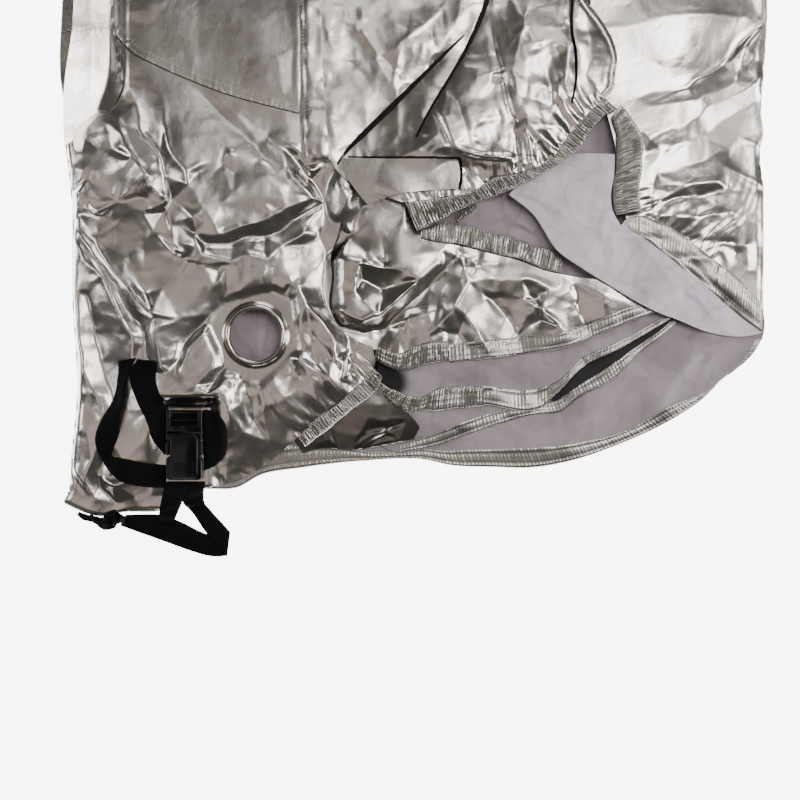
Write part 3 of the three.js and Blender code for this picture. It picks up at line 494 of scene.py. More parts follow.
def solid_sheet(name, points, faces, edges, count):
    """Upper side, underside and rim from points with two heights and the upper faces."""
    ordered = np.sort(edges, axis=1)
    _, first, uses = np.unique(
        ordered[:, 0] * (count + 1) + ordered[:, 1], return_index=True, return_counts=True,
    )
    rim = edges[first[uses == 1]]
    upper, lower = points[:, [0, 1, 2]], points[:, [0, 1, 3]]
    under_faces = [[v + count for v in reversed(face)] for face in faces]
    walls = np.column_stack([rim[:, 0] + count, rim[:, 1] + count, rim[:, 1], rim[:, 0]]).tolist()
    mesh = smooth_mesh(name, np.vstack([upper, lower]), faces + under_faces + walls, sharp=75)
    index = np.zeros(len(mesh.polygons), np.int32)
    index[len(faces):2 * len(faces)] = 1
    mesh.polygons.foreach_set("material_index", index)
    return mesh


# Finishes, from procedural nodes and plain values
def node_material(name, color, metallic, roughness):
    material = bpy.data.materials.new(name)
    material.use_nodes = True
    shader_input(material, "Base Color").default_value = (*color, 1.0)
    shader_input(material, "Metallic").default_value = metallic
    shader_input(material, "Roughness").default_value = roughness
    return material


def shader_input(material, name):
    return material.node_tree.nodes["Principled BSDF"].inputs[name]


NODE_MODES = ("operation", "interpolation_type", "data_type")


def node_after(material, kind, *sources, give=0, **settings):
    """An output of a new node. Its first inputs are sources, others go by name: outputs or values."""
    tree = material.node_tree
    node = tree.nodes.new("ShaderNode" + kind)
    given = list(zip(node.inputs, sources))
    for name, value in settings.items():
        if name in NODE_MODES:
            setattr(node, name, value)
        else:
            given.append((node.inputs[name.replace("_", " ").title()], value))
    for socket, source in given:
        if isinstance(source, bpy.types.NodeSocket):
            tree.links.new(source, socket)
        elif source is not None:
            socket.default_value = source
    return node.outputs[give]


def ramp_of(material, source, start, end, low, high, kind="SMOOTHSTEP"):
    return node_after(
        material, "MapRange", source, interpolation_type=kind,
        from_min=start, from_max=end, to_min=low, to_max=high,
    )


def add_bump(material, layers):
    """Noise bumps: size in metres, detail, and height in metres of each."""
    where = node_after(material, "TexCoord", give="Object")
    normal = None
    for size, detail, rise in layers:
        texture = node_after(material, "TexNoise", where, scale=1.0 / size, detail=detail)
        normal = node_after(
            material, "Bump", strength=1.0, distance=rise, height=texture, normal=normal, give="Normal",
        )
    material.node_tree.links.new(normal, shader_input(material, "Normal"))


def vary(material, name, size, low, high):
    """An input of the shader that wanders between low and high in patches."""
    where = node_after(material, "TexCoord", give="Object")
    texture = node_after(material, "TexNoise", where, scale=1.0 / size, detail=3.0)
    wandering_value = ramp_of(material, texture, 0.3, 0.7, low, high, "LINEAR")
    material.node_tree.links.new(wandering_value, shader_input(material, name))


def paint_crease_shade(material, size, softest_shade, line, painted_shadow=None):
    """Painted shade in the colour: it darkens softly in patches, is darker along small creases and is nearly
    black in a painted shadow in a fold.
    """
    where = node_after(material, "TexCoord", give="Object")
    soft = node_after(material, "TexNoise", where, scale=1.0 / size, detail=1.0)
    fine = node_after(material, "TexNoise", where, scale=2.2 / size, detail=1.0, distortion=0.5)
    centred = node_after(material, "Math", fine, 0.5, operation="SUBTRACT")
    away = node_after(material, "Math", centred, operation="ABSOLUTE")
    factor = node_after(
        material, "Math", ramp_of(material, soft, 0.3, 0.7, softest_shade, 1.0),
        ramp_of(material, away, 0.0, 0.09, line, 1.0), operation="MULTIPLY",
    )
    # A painted shadow: an ellipse given as x, y and its two half widths in metres, nearly black at its
    # middle.
    if painted_shadow:
        x, y, across, upward = painted_shadow
        moved = node_after(material, "VectorMath", where, (x, y, 0.0), operation="SUBTRACT")
        scaled = node_after(
            material, "VectorMath", moved, (1.0 / across, 1.0 / upward, 0.0), operation="MULTIPLY",
        )
        length = node_after(material, "VectorMath", scaled, operation="LENGTH", give="Value")
        darkness = ramp_of(material, length, 0.62, 1.0, 0.03, 1.0)
        factor = node_after(material, "Math", factor, darkness, operation="MULTIPLY")
    base = shader_input(material, "Base Color")
    shaded_colour = node_after(material, "Mix", factor, data_type="RGBA", give=2)
    shaded_colour.node.inputs[6].default_value = (0.0, 0.0, 0.0, 1.0)
    shaded_colour.node.inputs[7].default_value = base.default_value[:]
    material.node_tree.links.new(shaded_colour, base)


# Colour, metal and roughness of each finish, then its bumps
LINING_BUMPS = [(0.010, 3.0, 0.0006), (0.0009, 1.0, 0.00006)]
silver = node_material("silver_cloth", (0.625, 0.585, 0.555), 1.0, 0.3)
add_bump(silver, [(0.012, 2.0, 0.0003), (0.0012, 1.0, 0.00002)])
vary(silver, "Roughness", 0.05, 0.20, 0.31)
lining = node_material("lining_side", (0.46, 0.39, 0.435), 0.0, 0.85)
add_bump(lining, LINING_BUMPS)
# Painted shade on the lining: darker patches and crease lines, and a painted shadow by the left ends of the
# elastic bands in the mouth.
paint_crease_shade(lining, 0.075, 0.72, 0.88, painted_shadow=(-0.036, -0.133, 0.036, 0.026))
# A darker copy of the silver cloth: painted shade for the low cloth under the left elastic.
painted_shade_silver = node_material("silver_painted_shade", (0.21, 0.20, 0.185), 1.0, 0.28)
hem_cloth = node_material("hem_cloth", (0.42, 0.40, 0.375), 1.0, 0.34)
add_bump(hem_cloth, [(0.003, 2.0, 0.0001)])
# Nearly black lining: painted shade for cloth at the bottom of folds and in the gap under the second sheet's
# hem.
painted_shade_lining = node_material("lining_painted_shade", (0.025, 0.023, 0.027), 0.0, 0.9)
thread = node_material("thread", (0.66, 0.65, 0.63), 0.0, 0.6)
# A paler copy of the lining for the turned-back flap: painted light, as the flap lies higher and in more
# light than the lining under it. It also has painted crease shade.
painted_light_lining = node_material("lining_painted_light", (0.90, 0.80, 0.92), 0.0, 0.85)
add_bump(painted_light_lining, LINING_BUMPS)
paint_crease_shade(painted_light_lining, 0.06, 0.80, 0.86)
elastic = node_material("elastic_hem", (0.43, 0.415, 0.39), 1.0, 0.34)
add_bump(elastic, [(0.003, 1.0, 0.00005)])
webbing = node_material("webbing", (0.006, 0.006, 0.007), 0.0, 0.8)
add_bump(webbing, [(0.0012, 2.0, 0.0002)])
shader_input(webbing, "Specular IOR Level").default_value = 0.07
plastic = node_material("buckle_plastic", (0.004, 0.004, 0.005), 0.0, 0.14)
shader_input(plastic, "Specular IOR Level").default_value = 0.35
nickel = node_material("eyelet_metal", (0.68, 0.64, 0.58), 1.0, 0.16)

FINISHES = {
    "silver_cloth": silver, "lining_side": lining, "elastic_hem": elastic, "webbing": webbing,
    "buckle_plastic": plastic, "eyelet_metal": nickel,
}


def add(name, mesh, slot, replaces=(), under=None, finish=None):
    """A piece that rides on the frame. The material is the slot's, and under is its underside's."""
    mesh.materials.append(finish or FINISHES[slot])
    mesh.materials.append(under or FINISHES[slot])
    piece = bpy.data.objects.new(name, mesh)
    bpy.context.scene.collection.objects.link(piece)
    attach(piece, "root")
    if replaces:
        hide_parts(*replaces)
    return piece


# The left panel's height at its edges, its rise from them, its height at the lower hem, and its crown
LEFT = {
    "edge": 7.0, "rise": 13.0, "rise_over": 95.0, "hem": 3.5, "hem_from": -262.0,
    "hem_over": 90.0, "kept": 0.25, "crown": 5.0, "x": -215.0, "y": 20.0, "wide": 90.0, "long": 110.0,
}
# Flat seats: where, how high, how gently the cloth comes up, and each side's direction and distance
EYELET = {
    "x": -158.0, "y": -86.0, "barrel": 28.5, "height": 19.0, "reach": 62.0, "ramp": 11.0,
    "sides": [(8, 36), (62, 44), (104, 36), (148, 42), (205, 36), (248, 41), (312, 36)],
}
BUCKLE = {
    "x": -229.0, "y": -196.0, "height": 12.0, "reach": 48.0, "ramp": 14.0,
    "sides": [(0, 23), (90, 37), (180, 23), (270, 38)],
}

# The lowest sheet, inside up
BACK_CREASES = [
    [(146, -187, 1), (176, -161, 3), (226, -147, 1)],
    [(186, -181, 0), (226, -155, -1), (286, -131, 0)],
    [(236, -129, 1), (286, -103, 3), (338, -89, 1)],
    [(276, -91, 0), (310, -103, 2), (326, -97, 1)],
    [(66, -191, 0), (116, -185, 2), (142, -171, 1)],
    [(222, -143, 0), (250, -151, 2.5), (266, -137, 1)],
    [(-164, -61, 0), (-151, -85, 3), (-156, -113, 0)],
]
footprint = LEFT_EDGE + LOWER_LEFT_EDGE[1:] + LOWER_HEM[1:] + RIGHT_EDGE[1:] + TOP_EDGE[1:]
BACK_FOLDS = [
    Fold(3.5, 3, 6, 0.6, [(-150, -50), (-151, -85), (-157, -122)]),
    Fold(4.0, 7, 18, 0.4, [(266, -82), (216, -122), (182, -166)]),
    Fold(4.5, 8, 18, 0.4, [(292, -94), (264, -126), (240, -166)]),
    Fold(2.5, 4, 9, 0.5, [(140, -166), (146, -196)]),
    Fold(2.5, 9, 4, 0.5, [(330, -90), (300, -106), (286, -136)]),
]
rim = inset(curve(footprint, closed=True))
back = lay(
    footprint, 0.0,
    detail=np.maximum(2.0 * faceted(BACK_CREASES, 11, 0.8) + folds(BACK_FOLDS), 0)
    + smooth_step(rim / 40) * np.maximum(
        1.0 + 2.4 * wrinkles(36.0, 12)
        + creases(13, 44, (-20, 350, -215, -60), (30, 110), (4, 10), (0.8, 2.4)), 0,
    ),
)

# The third layer in the mouth
THIRD_FOLDS = [
    Fold(3.0, 14, 9, 0.4, [(40, -180), (60, -150)]),
    Fold(3.0, 14, 9, 0.4, [(150, -150), (160, -110)]),
]
third = lay(
    THIRD_HEM[::-1] + [(276, -51), (186, 19), (-14, 19), (-29, -51), (-34, -151), (-30, -200)],
    2.0, under=[back], detail=folds(THIRD_FOLDS) + 0.7 * noise(30.0, 21) + 0.3 * noise(12.0, 22),
)

# The second layer in the mouth
SECOND_CREASES = [
    [(-4, -145, 0), (33, -131, 2.5), (62, -135, 1)],
    [(16, -123, 1), (48, -117, 3), (86, -127, 2), (131, -143, 0)],
    [(98, -103, 0), (126, -117, 2.5), (146, -131, 1)],
    [(146, -103, 0), (150, -123, 2)],
    [(26, 33, 0), (56, 27, 3), (96, 35, 1)],
    [(76, 43, 0), (106, 23, 2.5), (134, 11, 1)],
    [(56, 13, 0), (86, 21, -1.5), (116, 17, 0)],
    [(148, 73, 0), (162, 79, 2), (186, 99, 1)],
]
second = lay(
    SECOND_HEM[::-1] + [
        (256, -41), (190, 14), (186, 99), (150, 128), (66, 128), (-4, 40), (-12, 8),
        (-28, -51), (-38, -130), (-24, -138), (-8, -147), (6, -149), (20, -142), (38, -138), (66, -139),
    ],
    4.5, under=[back, third], detail=1.9 * faceted(SECOND_CREASES, 31, 0.8) + 2.0 * wrinkles(24.0, 32)
    + creases(35, 30, (-40, 260, -160, 130), (25, 80), (3, 8), (0.7, 2.0)),
)

# The front skirt under the mouth
SKIRT_CREASES = [
    [(-51, 43, -3), (-66, 17, -5), (-84, -4, -5)],
    [(29, 0, 4), (-4, -8, 5), (-29, -16, 5), (-53, -15, 3)],
    [(-76, -7, 3), (-53, -13, 5), (-57, -41, 4), (-76, -39, 2)],
    [(-49, -26, -3), (-29, -37, -4)],
    [(22, -15, 5), (4, -33, 7), (-15, -50, 7), (-36, -67, 7), (-53, -75, 6), (-74, -62, 4)],
    [(30, -21, -1), (10, -43, -4), (-8, -60, -5), (-30, -79, -6), (-52, -86, -6), (-72, -75, -5)],
    [(44, -4, 2), (52, -21, 5), (58, -35, 4)],
    [(66, -7, 1), (58, -35, 5), (42, -61, 6), (24, -83, 5)],
    [(-6, -73, 2), (14, -67, 3), (32, -61, 3)],
    [(-1, -93, 2), (14, -89, 2), (24, -85, 3)],
    [(51, -69, 3), (62, -85, 5), (72, -101, 3)],
    [(41, -87, -1), (48, -103, -2)],
    [(107, -48, 2), (126, -63, 5), (146, -78, 4)],
    [(86, -13, 1), (106, -29, 4), (131, -39, 4), (152, -41, 2)],
    [(78, -47, -2), (94, -69, -4), (104, -89, -3)],
    [(116, -51, -2), (130, -73, -3)],
    [(171, -39, 2), (192, -49, 4), (214, -55, 3)],
    [(156, -33, 1), (161, -53, -2), (169, -73, -2)],
    [(-89, 59, 5), (-76, 66, 6), (-64, 53, 5), (-54, 59, 2)],
    [(-90, 41, 3), (-76, 37, 4), (-62, 41, 2)],
    [(-94, 17, -4), (-83, 31, -3), (-80, 3, -5)],
    [(72, -9, 2), (83, -31, 3), (80, -43, 1)],
]
skirt_loft = (
    12.0 + 4.0 * smooth_step((20 - X) / 90) + 1.5 * faceted(SKIRT_CREASES, 41, 1.1, spacing=32.0, clear=17.0)
    + 1.1 * wrinkles(26.0, 44) + creases(48, 26, (-80, 250, -115, 50), (20, 60), (3, 7), (0.5, 1.6))
    + puckers([(-40, -104), (-14, -113), (14, -106), (36, -104)], 6.0, 9.0, 0.7, 49)
) * smooth_step((X + 108) / 40)
skirt = lay(
    [
        (14, 8), (45, 3), (78, -5), (106, -12), (132, -22), (162, -28), (226, -41),
    ] + SKIRT_HEM + [
        (34, -92), (10, -94), (-14, -104), (-38, -100), (-56, -104), (-80, -98), (-102, -70),
        (-112, -20), (-113, 30), (-106, 66), (-84, 84), (-40, 84), (-6, 76), (10, 50),
    ],
    skirt_loft, under=[back, third, second],
)

# The right third: the lowest sheet turned over at the right edge, outside up
RIGHT_CREASES = [
    [(177, 220, 0), (232, 225, 2.5), (275, 233, 3), (328, 233, 1)],
    [(219, 249, 0), (232, 227, 2.5)],
    [(226, 153, -1), (276, 159, -3), (308, 183, -4), (351, 229, -3)],
    [(234, 141, 0.5), (286, 147, 1.5), (321, 171, 1)],
    [(229, 116, 1), (292, 141, 2), (338, 167, 2)],
    [(236, 97, -1), (298, 121, -2), (348, 153, -2)],
    [(275, 87, -1), (316, 101, -3), (350, 121, -3)],
    [(332, 199, 2), (341, 187, -1), (352, 177, 1)],
    [(239, 108, 2), (254, 99, 0)],
    [(242, 75, 0), (276, 65, 3), (306, 68, 3.5), (325, 50, 1)],
    [(246, 49, 0), (286, 51, -2), (316, 59, -1)],
    [(232, 38, 1), (275, 28, 4), (317, 33, 3), (344, 27, 1)],
    [(262, 13, -1), (301, 9, -2), (336, 7, -1)],
    [(236, 189, 0), (262, 197, 1.5), (286, 209, 0)],
    [(321, -1, 1), (336, -19, 2), (346, -41, 1)],
]
right_loft = (
    5.0 + 9.0 * smooth_step((352 - X) / 80) + 1.0 * faceted(RIGHT_CREASES, 51, 0.5)
    + 0.8 * wrinkles(44.0, 54)
    + puckers([(222, 62), (228, 34), (262, 18), (300, -12)], 7.0, 14.0, 0.7, 59)
    + 0.5 * creases(58, 16, (220, 350, -60, 120), (20, 60), (3, 7), (0.5, 1.6))
)
right = lay(
    [(352, -78)] + RIGHT_EDGE[1:] + [
        (346, 308), (240, 306), (186, 308), (176, 229), (190, 149), (204, 89), (208, 49),
        (216, 16), (228, 14), (243, 8), (286, -20), (326, -52), (340, -66),
    ],
    right_loft, under=[back, third, second, skirt],
    rolled=[([(351, -84)] + RIGHT_EDGE[1:], 9.0, 1.2), ([(346, 308), (240, 306), (186, 308)], 9.0, 1.2)],
)

# The sheet turned back at the mouth, inside up
FLAP_CREASES = [
    [(197, 45, 2), (186, 23, 3.5), (187, 0, 2)],
    [(106, 59, 1), (146, 37, 3), (178, 23, 2)],
    [(146, 89, 1), (160, 59, 2.5), (158, 39, 1)],
    [(226, 9, 1), (266, -39, 3), (306, -73, 1)],
    [(122, 33, 0), (176, -9, 2.5), (236, -51, 2)],
    [(186, 87, 1), (192, 69, 2.5), (189, 53, 1)],
    [(226, -21, 0), (216, -36, -1.5), (198, -35, -0.5)],
    [(276, -51, 0), (286, -69, -1.5)],
]
flap = lay(
    [
        (94, 54), (141, 91), (161, 94), (200, 94), (199, 74), (196, 54), (197, 39), (206, 22),
    ] + TURNED_HEM_OUTER + [
        (349, -84), (333, -87), (295, -83), (264, -71), (244, -64), (225, -55), (194, -36),
        (166, -19), (146, -5), (116, 37),
    ],
    7.0 + 12.0 * smooth_step((330 - X) / 90), under=[back, third, second, skirt, right],
    detail=0.5 + smooth_step((345 - X) / 40) * np.maximum(
        2.3 * faceted(FLAP_CREASES, 61, 0.8) + 1.8 * wrinkles(27.0, 64)
        + creases(65, 34, (100, 345, -85, 95), (25, 90), (3, 8), (0.7, 2.2)), 0,
    ),
)

# Silver cloth of the layers under the left elastic
UNDER_LEFT_CREASES = [
    [(-62, -150, 0), (-46, -168, 3), (-54, -190, 1)], [(-34, -146, 0), (-26, -170, 3), (-30, -190, 0)],
    [(-84, -180, 0), (-54, -186, 2), (-20, -176, 0)], [(-62, -199, 1), (-34, -187, 4), (-6, -171, 2)],
    [(-49, -202, 0), (-14, -189, 3), (6, -181, 1)], [(-100, -196, 0), (-88, -190, 2), (-76, -197, 0)],
]
under_left = lay(
    [
        (-112, -205), (-95, -200), (-60, -201), (-38, -198), (0, -190), (6, -178), (-4, -166),
        (-28, -150), (-36, -126), (-60, -130), (-90, -150), (-125, -180),
    ],
    2.0 + 0.2 * np.minimum(Y + 205, 50)
    + 1.3 * faceted(UNDER_LEFT_CREASES, 131, 1.0, spacing=24.0, clear=12.0),
    under=[back, third],
)

# The left side panel, outside up, in two parts that meet at the seam
LEFT_CREASES = [
    [
        (-287, 163, -1), (-278, 146, -4), (-271, 118, -5), (-258, 94, -6), (-251, 77, -6),
        (-249, 49, -5), (-249, 13, -3),
    ],
    [
        (-252, 154, 3), (-249, 137, 4), (-247, 118, 4), (-244, 99, 4), (-228, 77, 5), (-227, 63, 4),
        (-244, 48, 3), (-251, 36, 1),
    ],
    [
        (-228, 168, 0), (-208, 149, 0.4), (-182, 127, 0.8), (-156, 104, 1.4), (-130, 80, 3), (-111, 57, 5),
        (-103, 46, 4), (-129, 36, 4), (-165, 23, 5), (-192, 18, 4), (-218, 16, 2),
    ],
    [
        (-217, 173, 0), (-198, 155, -0.2), (-172, 134, -0.4), (-146, 111, -0.8), (-122, 91, -2.5),
        (-104, 69, -6), (-92, 45, -7), (-124, 25, -5), (-152, 11, -4), (-182, 7, -3), (-209, 9, -1),
    ],
    [(-132, 98, 1), (-122, 99, 3), (-113, 93, 1)],
    [(-106, 79, 1), (-100, 77, 2), (-88, 83, -1)],
    [(-244, 23, -3), (-244, -3, -3)],
    [(-218, 9, 4), (-208, -4, 5), (-211, -12, 4), (-227, -11, 5), (-244, -4, 2)],
    [(-227, -13, 4), (-236, -27, 3), (-249, -39, 2), (-266, -45, 0)],
    [(-211, -15, 3), (-185, -11, 4), (-165, -8, 5), (-147, -13, 4), (-141, -25, 2)],
    [(-189, -41, 1), (-165, -32, 4), (-151, -31, 4), (-144, -34, 2)],
    [(-151, -8, 1), (-134, 3, 3), (-113, 16, 2)],
    [(-196, -19, 2), (-201, -35, 4), (-188, -13, 3)],
    [
        (-333, 39, 2), (-316, 9, 7), (-299, -25, 8), (-277, -47, 8), (-259, -65, 8), (-256, -82, 7),
        (-251, -115, 4), (-247, -121, 2),
    ],
    [(-340, 27, 0), (-322, 1, 1), (-306, -29, 0), (-288, -61, -1), (-272, -89, -1), (-262, -117, -1)],
    [(-344, 15, 1), (-328, -8, 5), (-313, -28, 5), (-299, -58, 6), (-285, -87, 5), (-278, -109, 2)],
    [
        (-344, -23, 1), (-339, -41, 3), (-342, -47, 4), (-337, -82, 4), (-331, -120, 4),
        (-323, -140, 4), (-316, -170, 3),
    ],
    [(-330, -47, -1), (-320, -81, -3), (-314, -111, -3), (-302, -149, -2)],
    [(-299, -25, 8), (-292, -13, 4), (-287, -3, 1)],
    [(-258, -71, 5), (-230, -70, 3), (-213, -65, 2)],
    [(-251, -115, 4), (-238, -103, 1), (-228, -89, 0), (-216, -69, 1)],
    [(-244, -120, 1), (-232, -103, -2), (-216, -81, -3), (-202, -63, -1)],
    [(-234, -123, 2), (-220, -97, 4), (-206, -79, 5), (-189, -63, 4)],
    [(-196, -78, 4), (-194, -101, 5), (-199, -123, 5), (-216, -137, 4)],
    [(-188, -103, 1), (-186, -119, -1), (-200, -137, -1)],
    [(-244, -120, 3), (-236, -131, 3), (-227, -142, 4)],
    [(-251, -152, 2), (-220, -144, 5), (-208, -147, 5), (-182, -161, 5), (-161, -180, 3)],
    [
        (-208, -147, 5), (-192, -139, 4), (-176, -129, 4), (-163, -123, 5), (-144, -113, 4),
        (-127, -106, 5), (-116, -109, 5), (-84, -125, 5), (-70, -130, 4),
    ],
    [(-163, -125, 5), (-154, -127, 4), (-151, -141, 3), (-149, -158, 3)],
    [(-170, -133, 1), (-180, -147, 3), (-168, -155, 4), (-156, -153, 1)],
    [(-147, -159, 4), (-130, -147, 4), (-123, -127, 1), (-121, -115, 2)],
    [(-127, -41, 2), (-125, -73, 4), (-123, -103, 5)],
    [
        (-125, -42, 2), (-114, -39, 5), (-106, -54, 6), (-92, -73, 6), (-79, -93, 6), (-78, -106, 6),
        (-70, -112, 5), (-72, -129, 4),
    ],
    [(-146, -51, 2), (-132, -43, 3), (-123, -33, 4), (-114, -39, 5)],
    [(-104, -69, 3), (-102, -96, 2), (-96, -113, 2)],
    [(-69, -81, -5), (-64, -101, -5), (-62, -123, -4)],
    [(-114, 6, -3), (-96, 14, -8), (-89, -6, -9), (-86, -41, -9), (-81, -63, -8), (-69, -81, -8)],
    [(-295, 130, 3), (-290, 114, 6), (-293, 101, 5), (-282, 91, 5), (-268, 73, 4), (-264, 63, 2)],
    [(-310, 139, 1), (-306, 125, 3), (-295, 130, 3)],
    [(-342, 84, 2), (-332, 81, 5), (-328, 73, 3), (-336, 63, 1)],
    [(-342, 56, 3), (-334, 60, 6), (-324, 56, 5), (-322, 45, 4), (-336, 42, 3), (-342, 56, 3)],
    [(-322, 45, 4), (-308, 37, 4), (-295, 30, 3)],
    [(-314, 41, 0), (-294, 49, -2), (-274, 52, -3), (-268, 37, -4), (-262, 17, -3)],
    [(-330, 108, 1), (-316, 99, 2), (-302, 102, 1)],
    [(-186, 101, 2), (-182, 91, 4), (-188, 81, 1)],
    [(-176, 73, 1), (-178, 57, 4), (-192, 47, 4), (-176, 41, 3)],
    [(-152, 87, 2), (-144, 69, 5), (-128, 53, 4)],
    [(-209, 83, 3), (-216, 73, 1)],
    [(-234, 41, 3), (-222, 30, 6), (-208, 25, 4)],
    [(-208, 41, 5), (-200, 29, 5), (-190, 23, 3)],
    [(-174, -69, 0), (-178, -51, 2)],
    [(-310, -181, 1), (-296, -206, 3), (-302, -231, 2)],
    [(-330, -181, 3), (-322, -213, 4), (-330, -241, 2)],
    [(-204, -203, 2), (-186, -213, 4), (-162, -209, 3), (-152, -221, 1)],
    [(-199, -229, 1), (-176, -219, 3), (-158, -229, 1)],
    [(-156, -171, 1), (-142, -191, 3), (-124, -197, 2)],
    [(-345, -215, 0), (-330, -232, 6), (-322, -250, 1)],
    [(-318, -226, 0), (-300, -240, 7), (-280, -252, 2)],
    [(-296, -222, 0), (-284, -236, 5), (-262, -244, 1)],
    [(-312, -214, -3), (-314, -238, -4), (-300, -254, -3)],
    [(-204, -152, 4), (-186, -168, 5), (-170, -182, 5), (-146, -188, 3)],
    [(-208, -222, 1), (-192, -226, 4), (-176, -222, 2)],
    [(-198, 167, 0), (-218, 187, 1), (-230, 205, 0)],
    [(-274, 239, 1), (-248, 243, 0)],
    [(-138, 189, 1), (-126, 163, -2), (-132, 149, -1)],
    [(-124, 249, -1), (-123, 199, -2), (-124, 157, -2)],
    [(-279, 227, -1), (-266, 223, -1.5), (-248, 225, -0.5)],
]

LEFT_FOLDS = [Fold(-1.3, 6, 8, 0.2, [(-224, 168), (-190, 132), (-154, 99), (-118, 64)])]


def seat_share(platform):
    """1 on the flat seat of the eyelet or the buckle, which has straight sides, and 0 away from it."""
    outside = np.max([
        (X - platform["x"]) * math.cos(math.radians(angle))
        + (Y - platform["y"]) * math.sin(math.radians(angle)) - away
        for angle, away in platform["sides"]
    ], axis=0)
    return smooth_step(1.0 - outside / platform["ramp"])


def seated(height, platform):
    """A height field that comes to the platform's height, gently from afar and flat on its seat."""
    lift = platform["height"] - at(height, platform["x"], platform["y"])
    away = np.hypot(X - platform["x"], Y - platform["y"]) / platform["reach"]
    height = height + lift * np.exp(-away * away)
    return height + seat_share(platform) * (platform["height"] - height)


LEFT_MOUTH = [(-116, -188), (-98, -170), (-71, -149), (-47, -127), (-40, -118)]


def left_loft():
    hump = ((X - LEFT["x"]) / LEFT["wide"]) ** 2 + ((Y - LEFT["y"]) / LEFT["long"]) ** 2
    high = LEFT["edge"] + LEFT["rise"] * smooth_step(rim / LEFT["rise_over"])
    high = high + LEFT["crown"] * np.exp(-hump)
    # It climbs towards the pleat, and dips under the folded corner
    high = high + 0.045 * np.clip(X + 215, 0, 98) * smooth_step((-98 - X) / 18) * smooth_step((Y - 115) / 50)
    high = high - 6.0 * smooth_step((-284 - X) / 16) * smooth_step((Y - 135) / 50)
    calm = 0.2 + 0.8 * smooth_step((175 - Y) / 120)
    crumple = (0.3 + 0.9 * calm) * faceted(LEFT_CREASES, 71, 0.55, spacing=42.0, clear=22.0) + calm * (
        1.5 * wrinkles(40.0, 74) + 0.45 * wrinkles(17.0, 78)
        + creases(83, 36, (-356, -40, -262, 170), (18, 60), (2.0, 5), (0.3, 1.0))
    )
    crumple = crumple + folds(LEFT_FOLDS)
    gathered = puckers(LEFT_MOUTH, 6.5, 11.0, 1.0, 86)
    share = LEFT["kept"] + (1 - LEFT["kept"]) * smooth_step((Y - LEFT["hem_from"]) / LEFT["hem_over"])
    height = seated(seated(LEFT["hem"] + (high - LEFT["hem"]) * share, EYELET), BUCKLE)
    free = (1.0 - seat_share(EYELET)) * (1.0 - seat_share(BUCKLE))
    near_eyelet = seat_share(EYELET) > 0.5
    away = np.hypot(X - EYELET["x"], Y - EYELET["y"]) / 75.0
    crumple = crumple - crumple[near_eyelet].mean() * np.exp(-away * away)
    return height + free * (crumple + gathered) * (0.6 + 0.4 * share)


left_height = left_loft()
eyelet_distance = np.hypot(X - EYELET["x"], Y - EYELET["y"])
seam = curve(SEAM)
seam_points = np.array(SEAM, float)
# How far each sheet stops short of the seam between them
SEAM_GAP = 0.55
seam_crimp = puckers(SEAM, 3.9, 6.5, 0.55, 91, octaves=1)
left_lower = lay(
    [(-355, 220.5)] + LEFT_EDGE[1:] + LOWER_LEFT_EDGE[1:] + [(-176, -231), (-146, -214)] + LEFT_MOUTH + [
        (-41, -98), (-52, -94), (-68, -84), (-84, -60), (-82, -27), (-83, -6), (-76, 14), (-70, 49),
        (-70, 100), (-73, 131.5),
    ] + [tuple(p) for p in offset(seam_points, -SEAM_GAP)[::-1][1:]],
    left_height, under=[back, third, second, skirt, under_left],
    rolled=[(LEFT_EDGE[1:], 9.0, 1.4), (LOWER_LEFT_EDGE[:-1], 5.0, 1.4)],
    hole=eyelet_distance - EYELET["barrel"],
)
left_upper = lay(
    [
        (-73, 132.5), (-74, 180), (-76, 308), (-110, 309), (-340, 308), (-352, 299), (-354, 249),
        (-355, 222),
    ] + [tuple(p) for p in offset(seam_points, SEAM_GAP)[1:-1]],
    left_height + seam_crimp, under=[back],
    rolled=[([(-355, 222), (-354, 249), (-352, 299), (-340, 308)], 9.0, 1.4),
            ([(-340, 308), (-110, 309)], 9.0, 1.4)],
)

# A corner of the side panel folded over on itself
CORNER_FOLDS = [Fold(1.0, 10, 8, 0.4, [(-322, 300), (-320, 150)])]
corner = lay(
    [
        (-338, 304), (-305, 304), (-303, 249), (-300, 221), (-292, 179), (-290, 167), (-295, 152),
        (-305, 137), (-314, 139), (-335, 120), (-341, 107), (-348, 102), (-349, 147), (-347, 172),
        (-341, 215), (-339, 249),
    ],
    10.0 + 0.31 * (-300 - X) + folds(CORNER_FOLDS) + 0.4 * noise(26.0, 95)
    + puckers([(-343, 214), (-303, 220)], 3.4, 6.0, 0.4, 97, octaves=1), under=[left_upper, left_lower],
    rolled=[([(-305, 304), (-303, 249), (-300, 221), (-292, 179), (-290, 167)], 2.5, 9.5)],
)

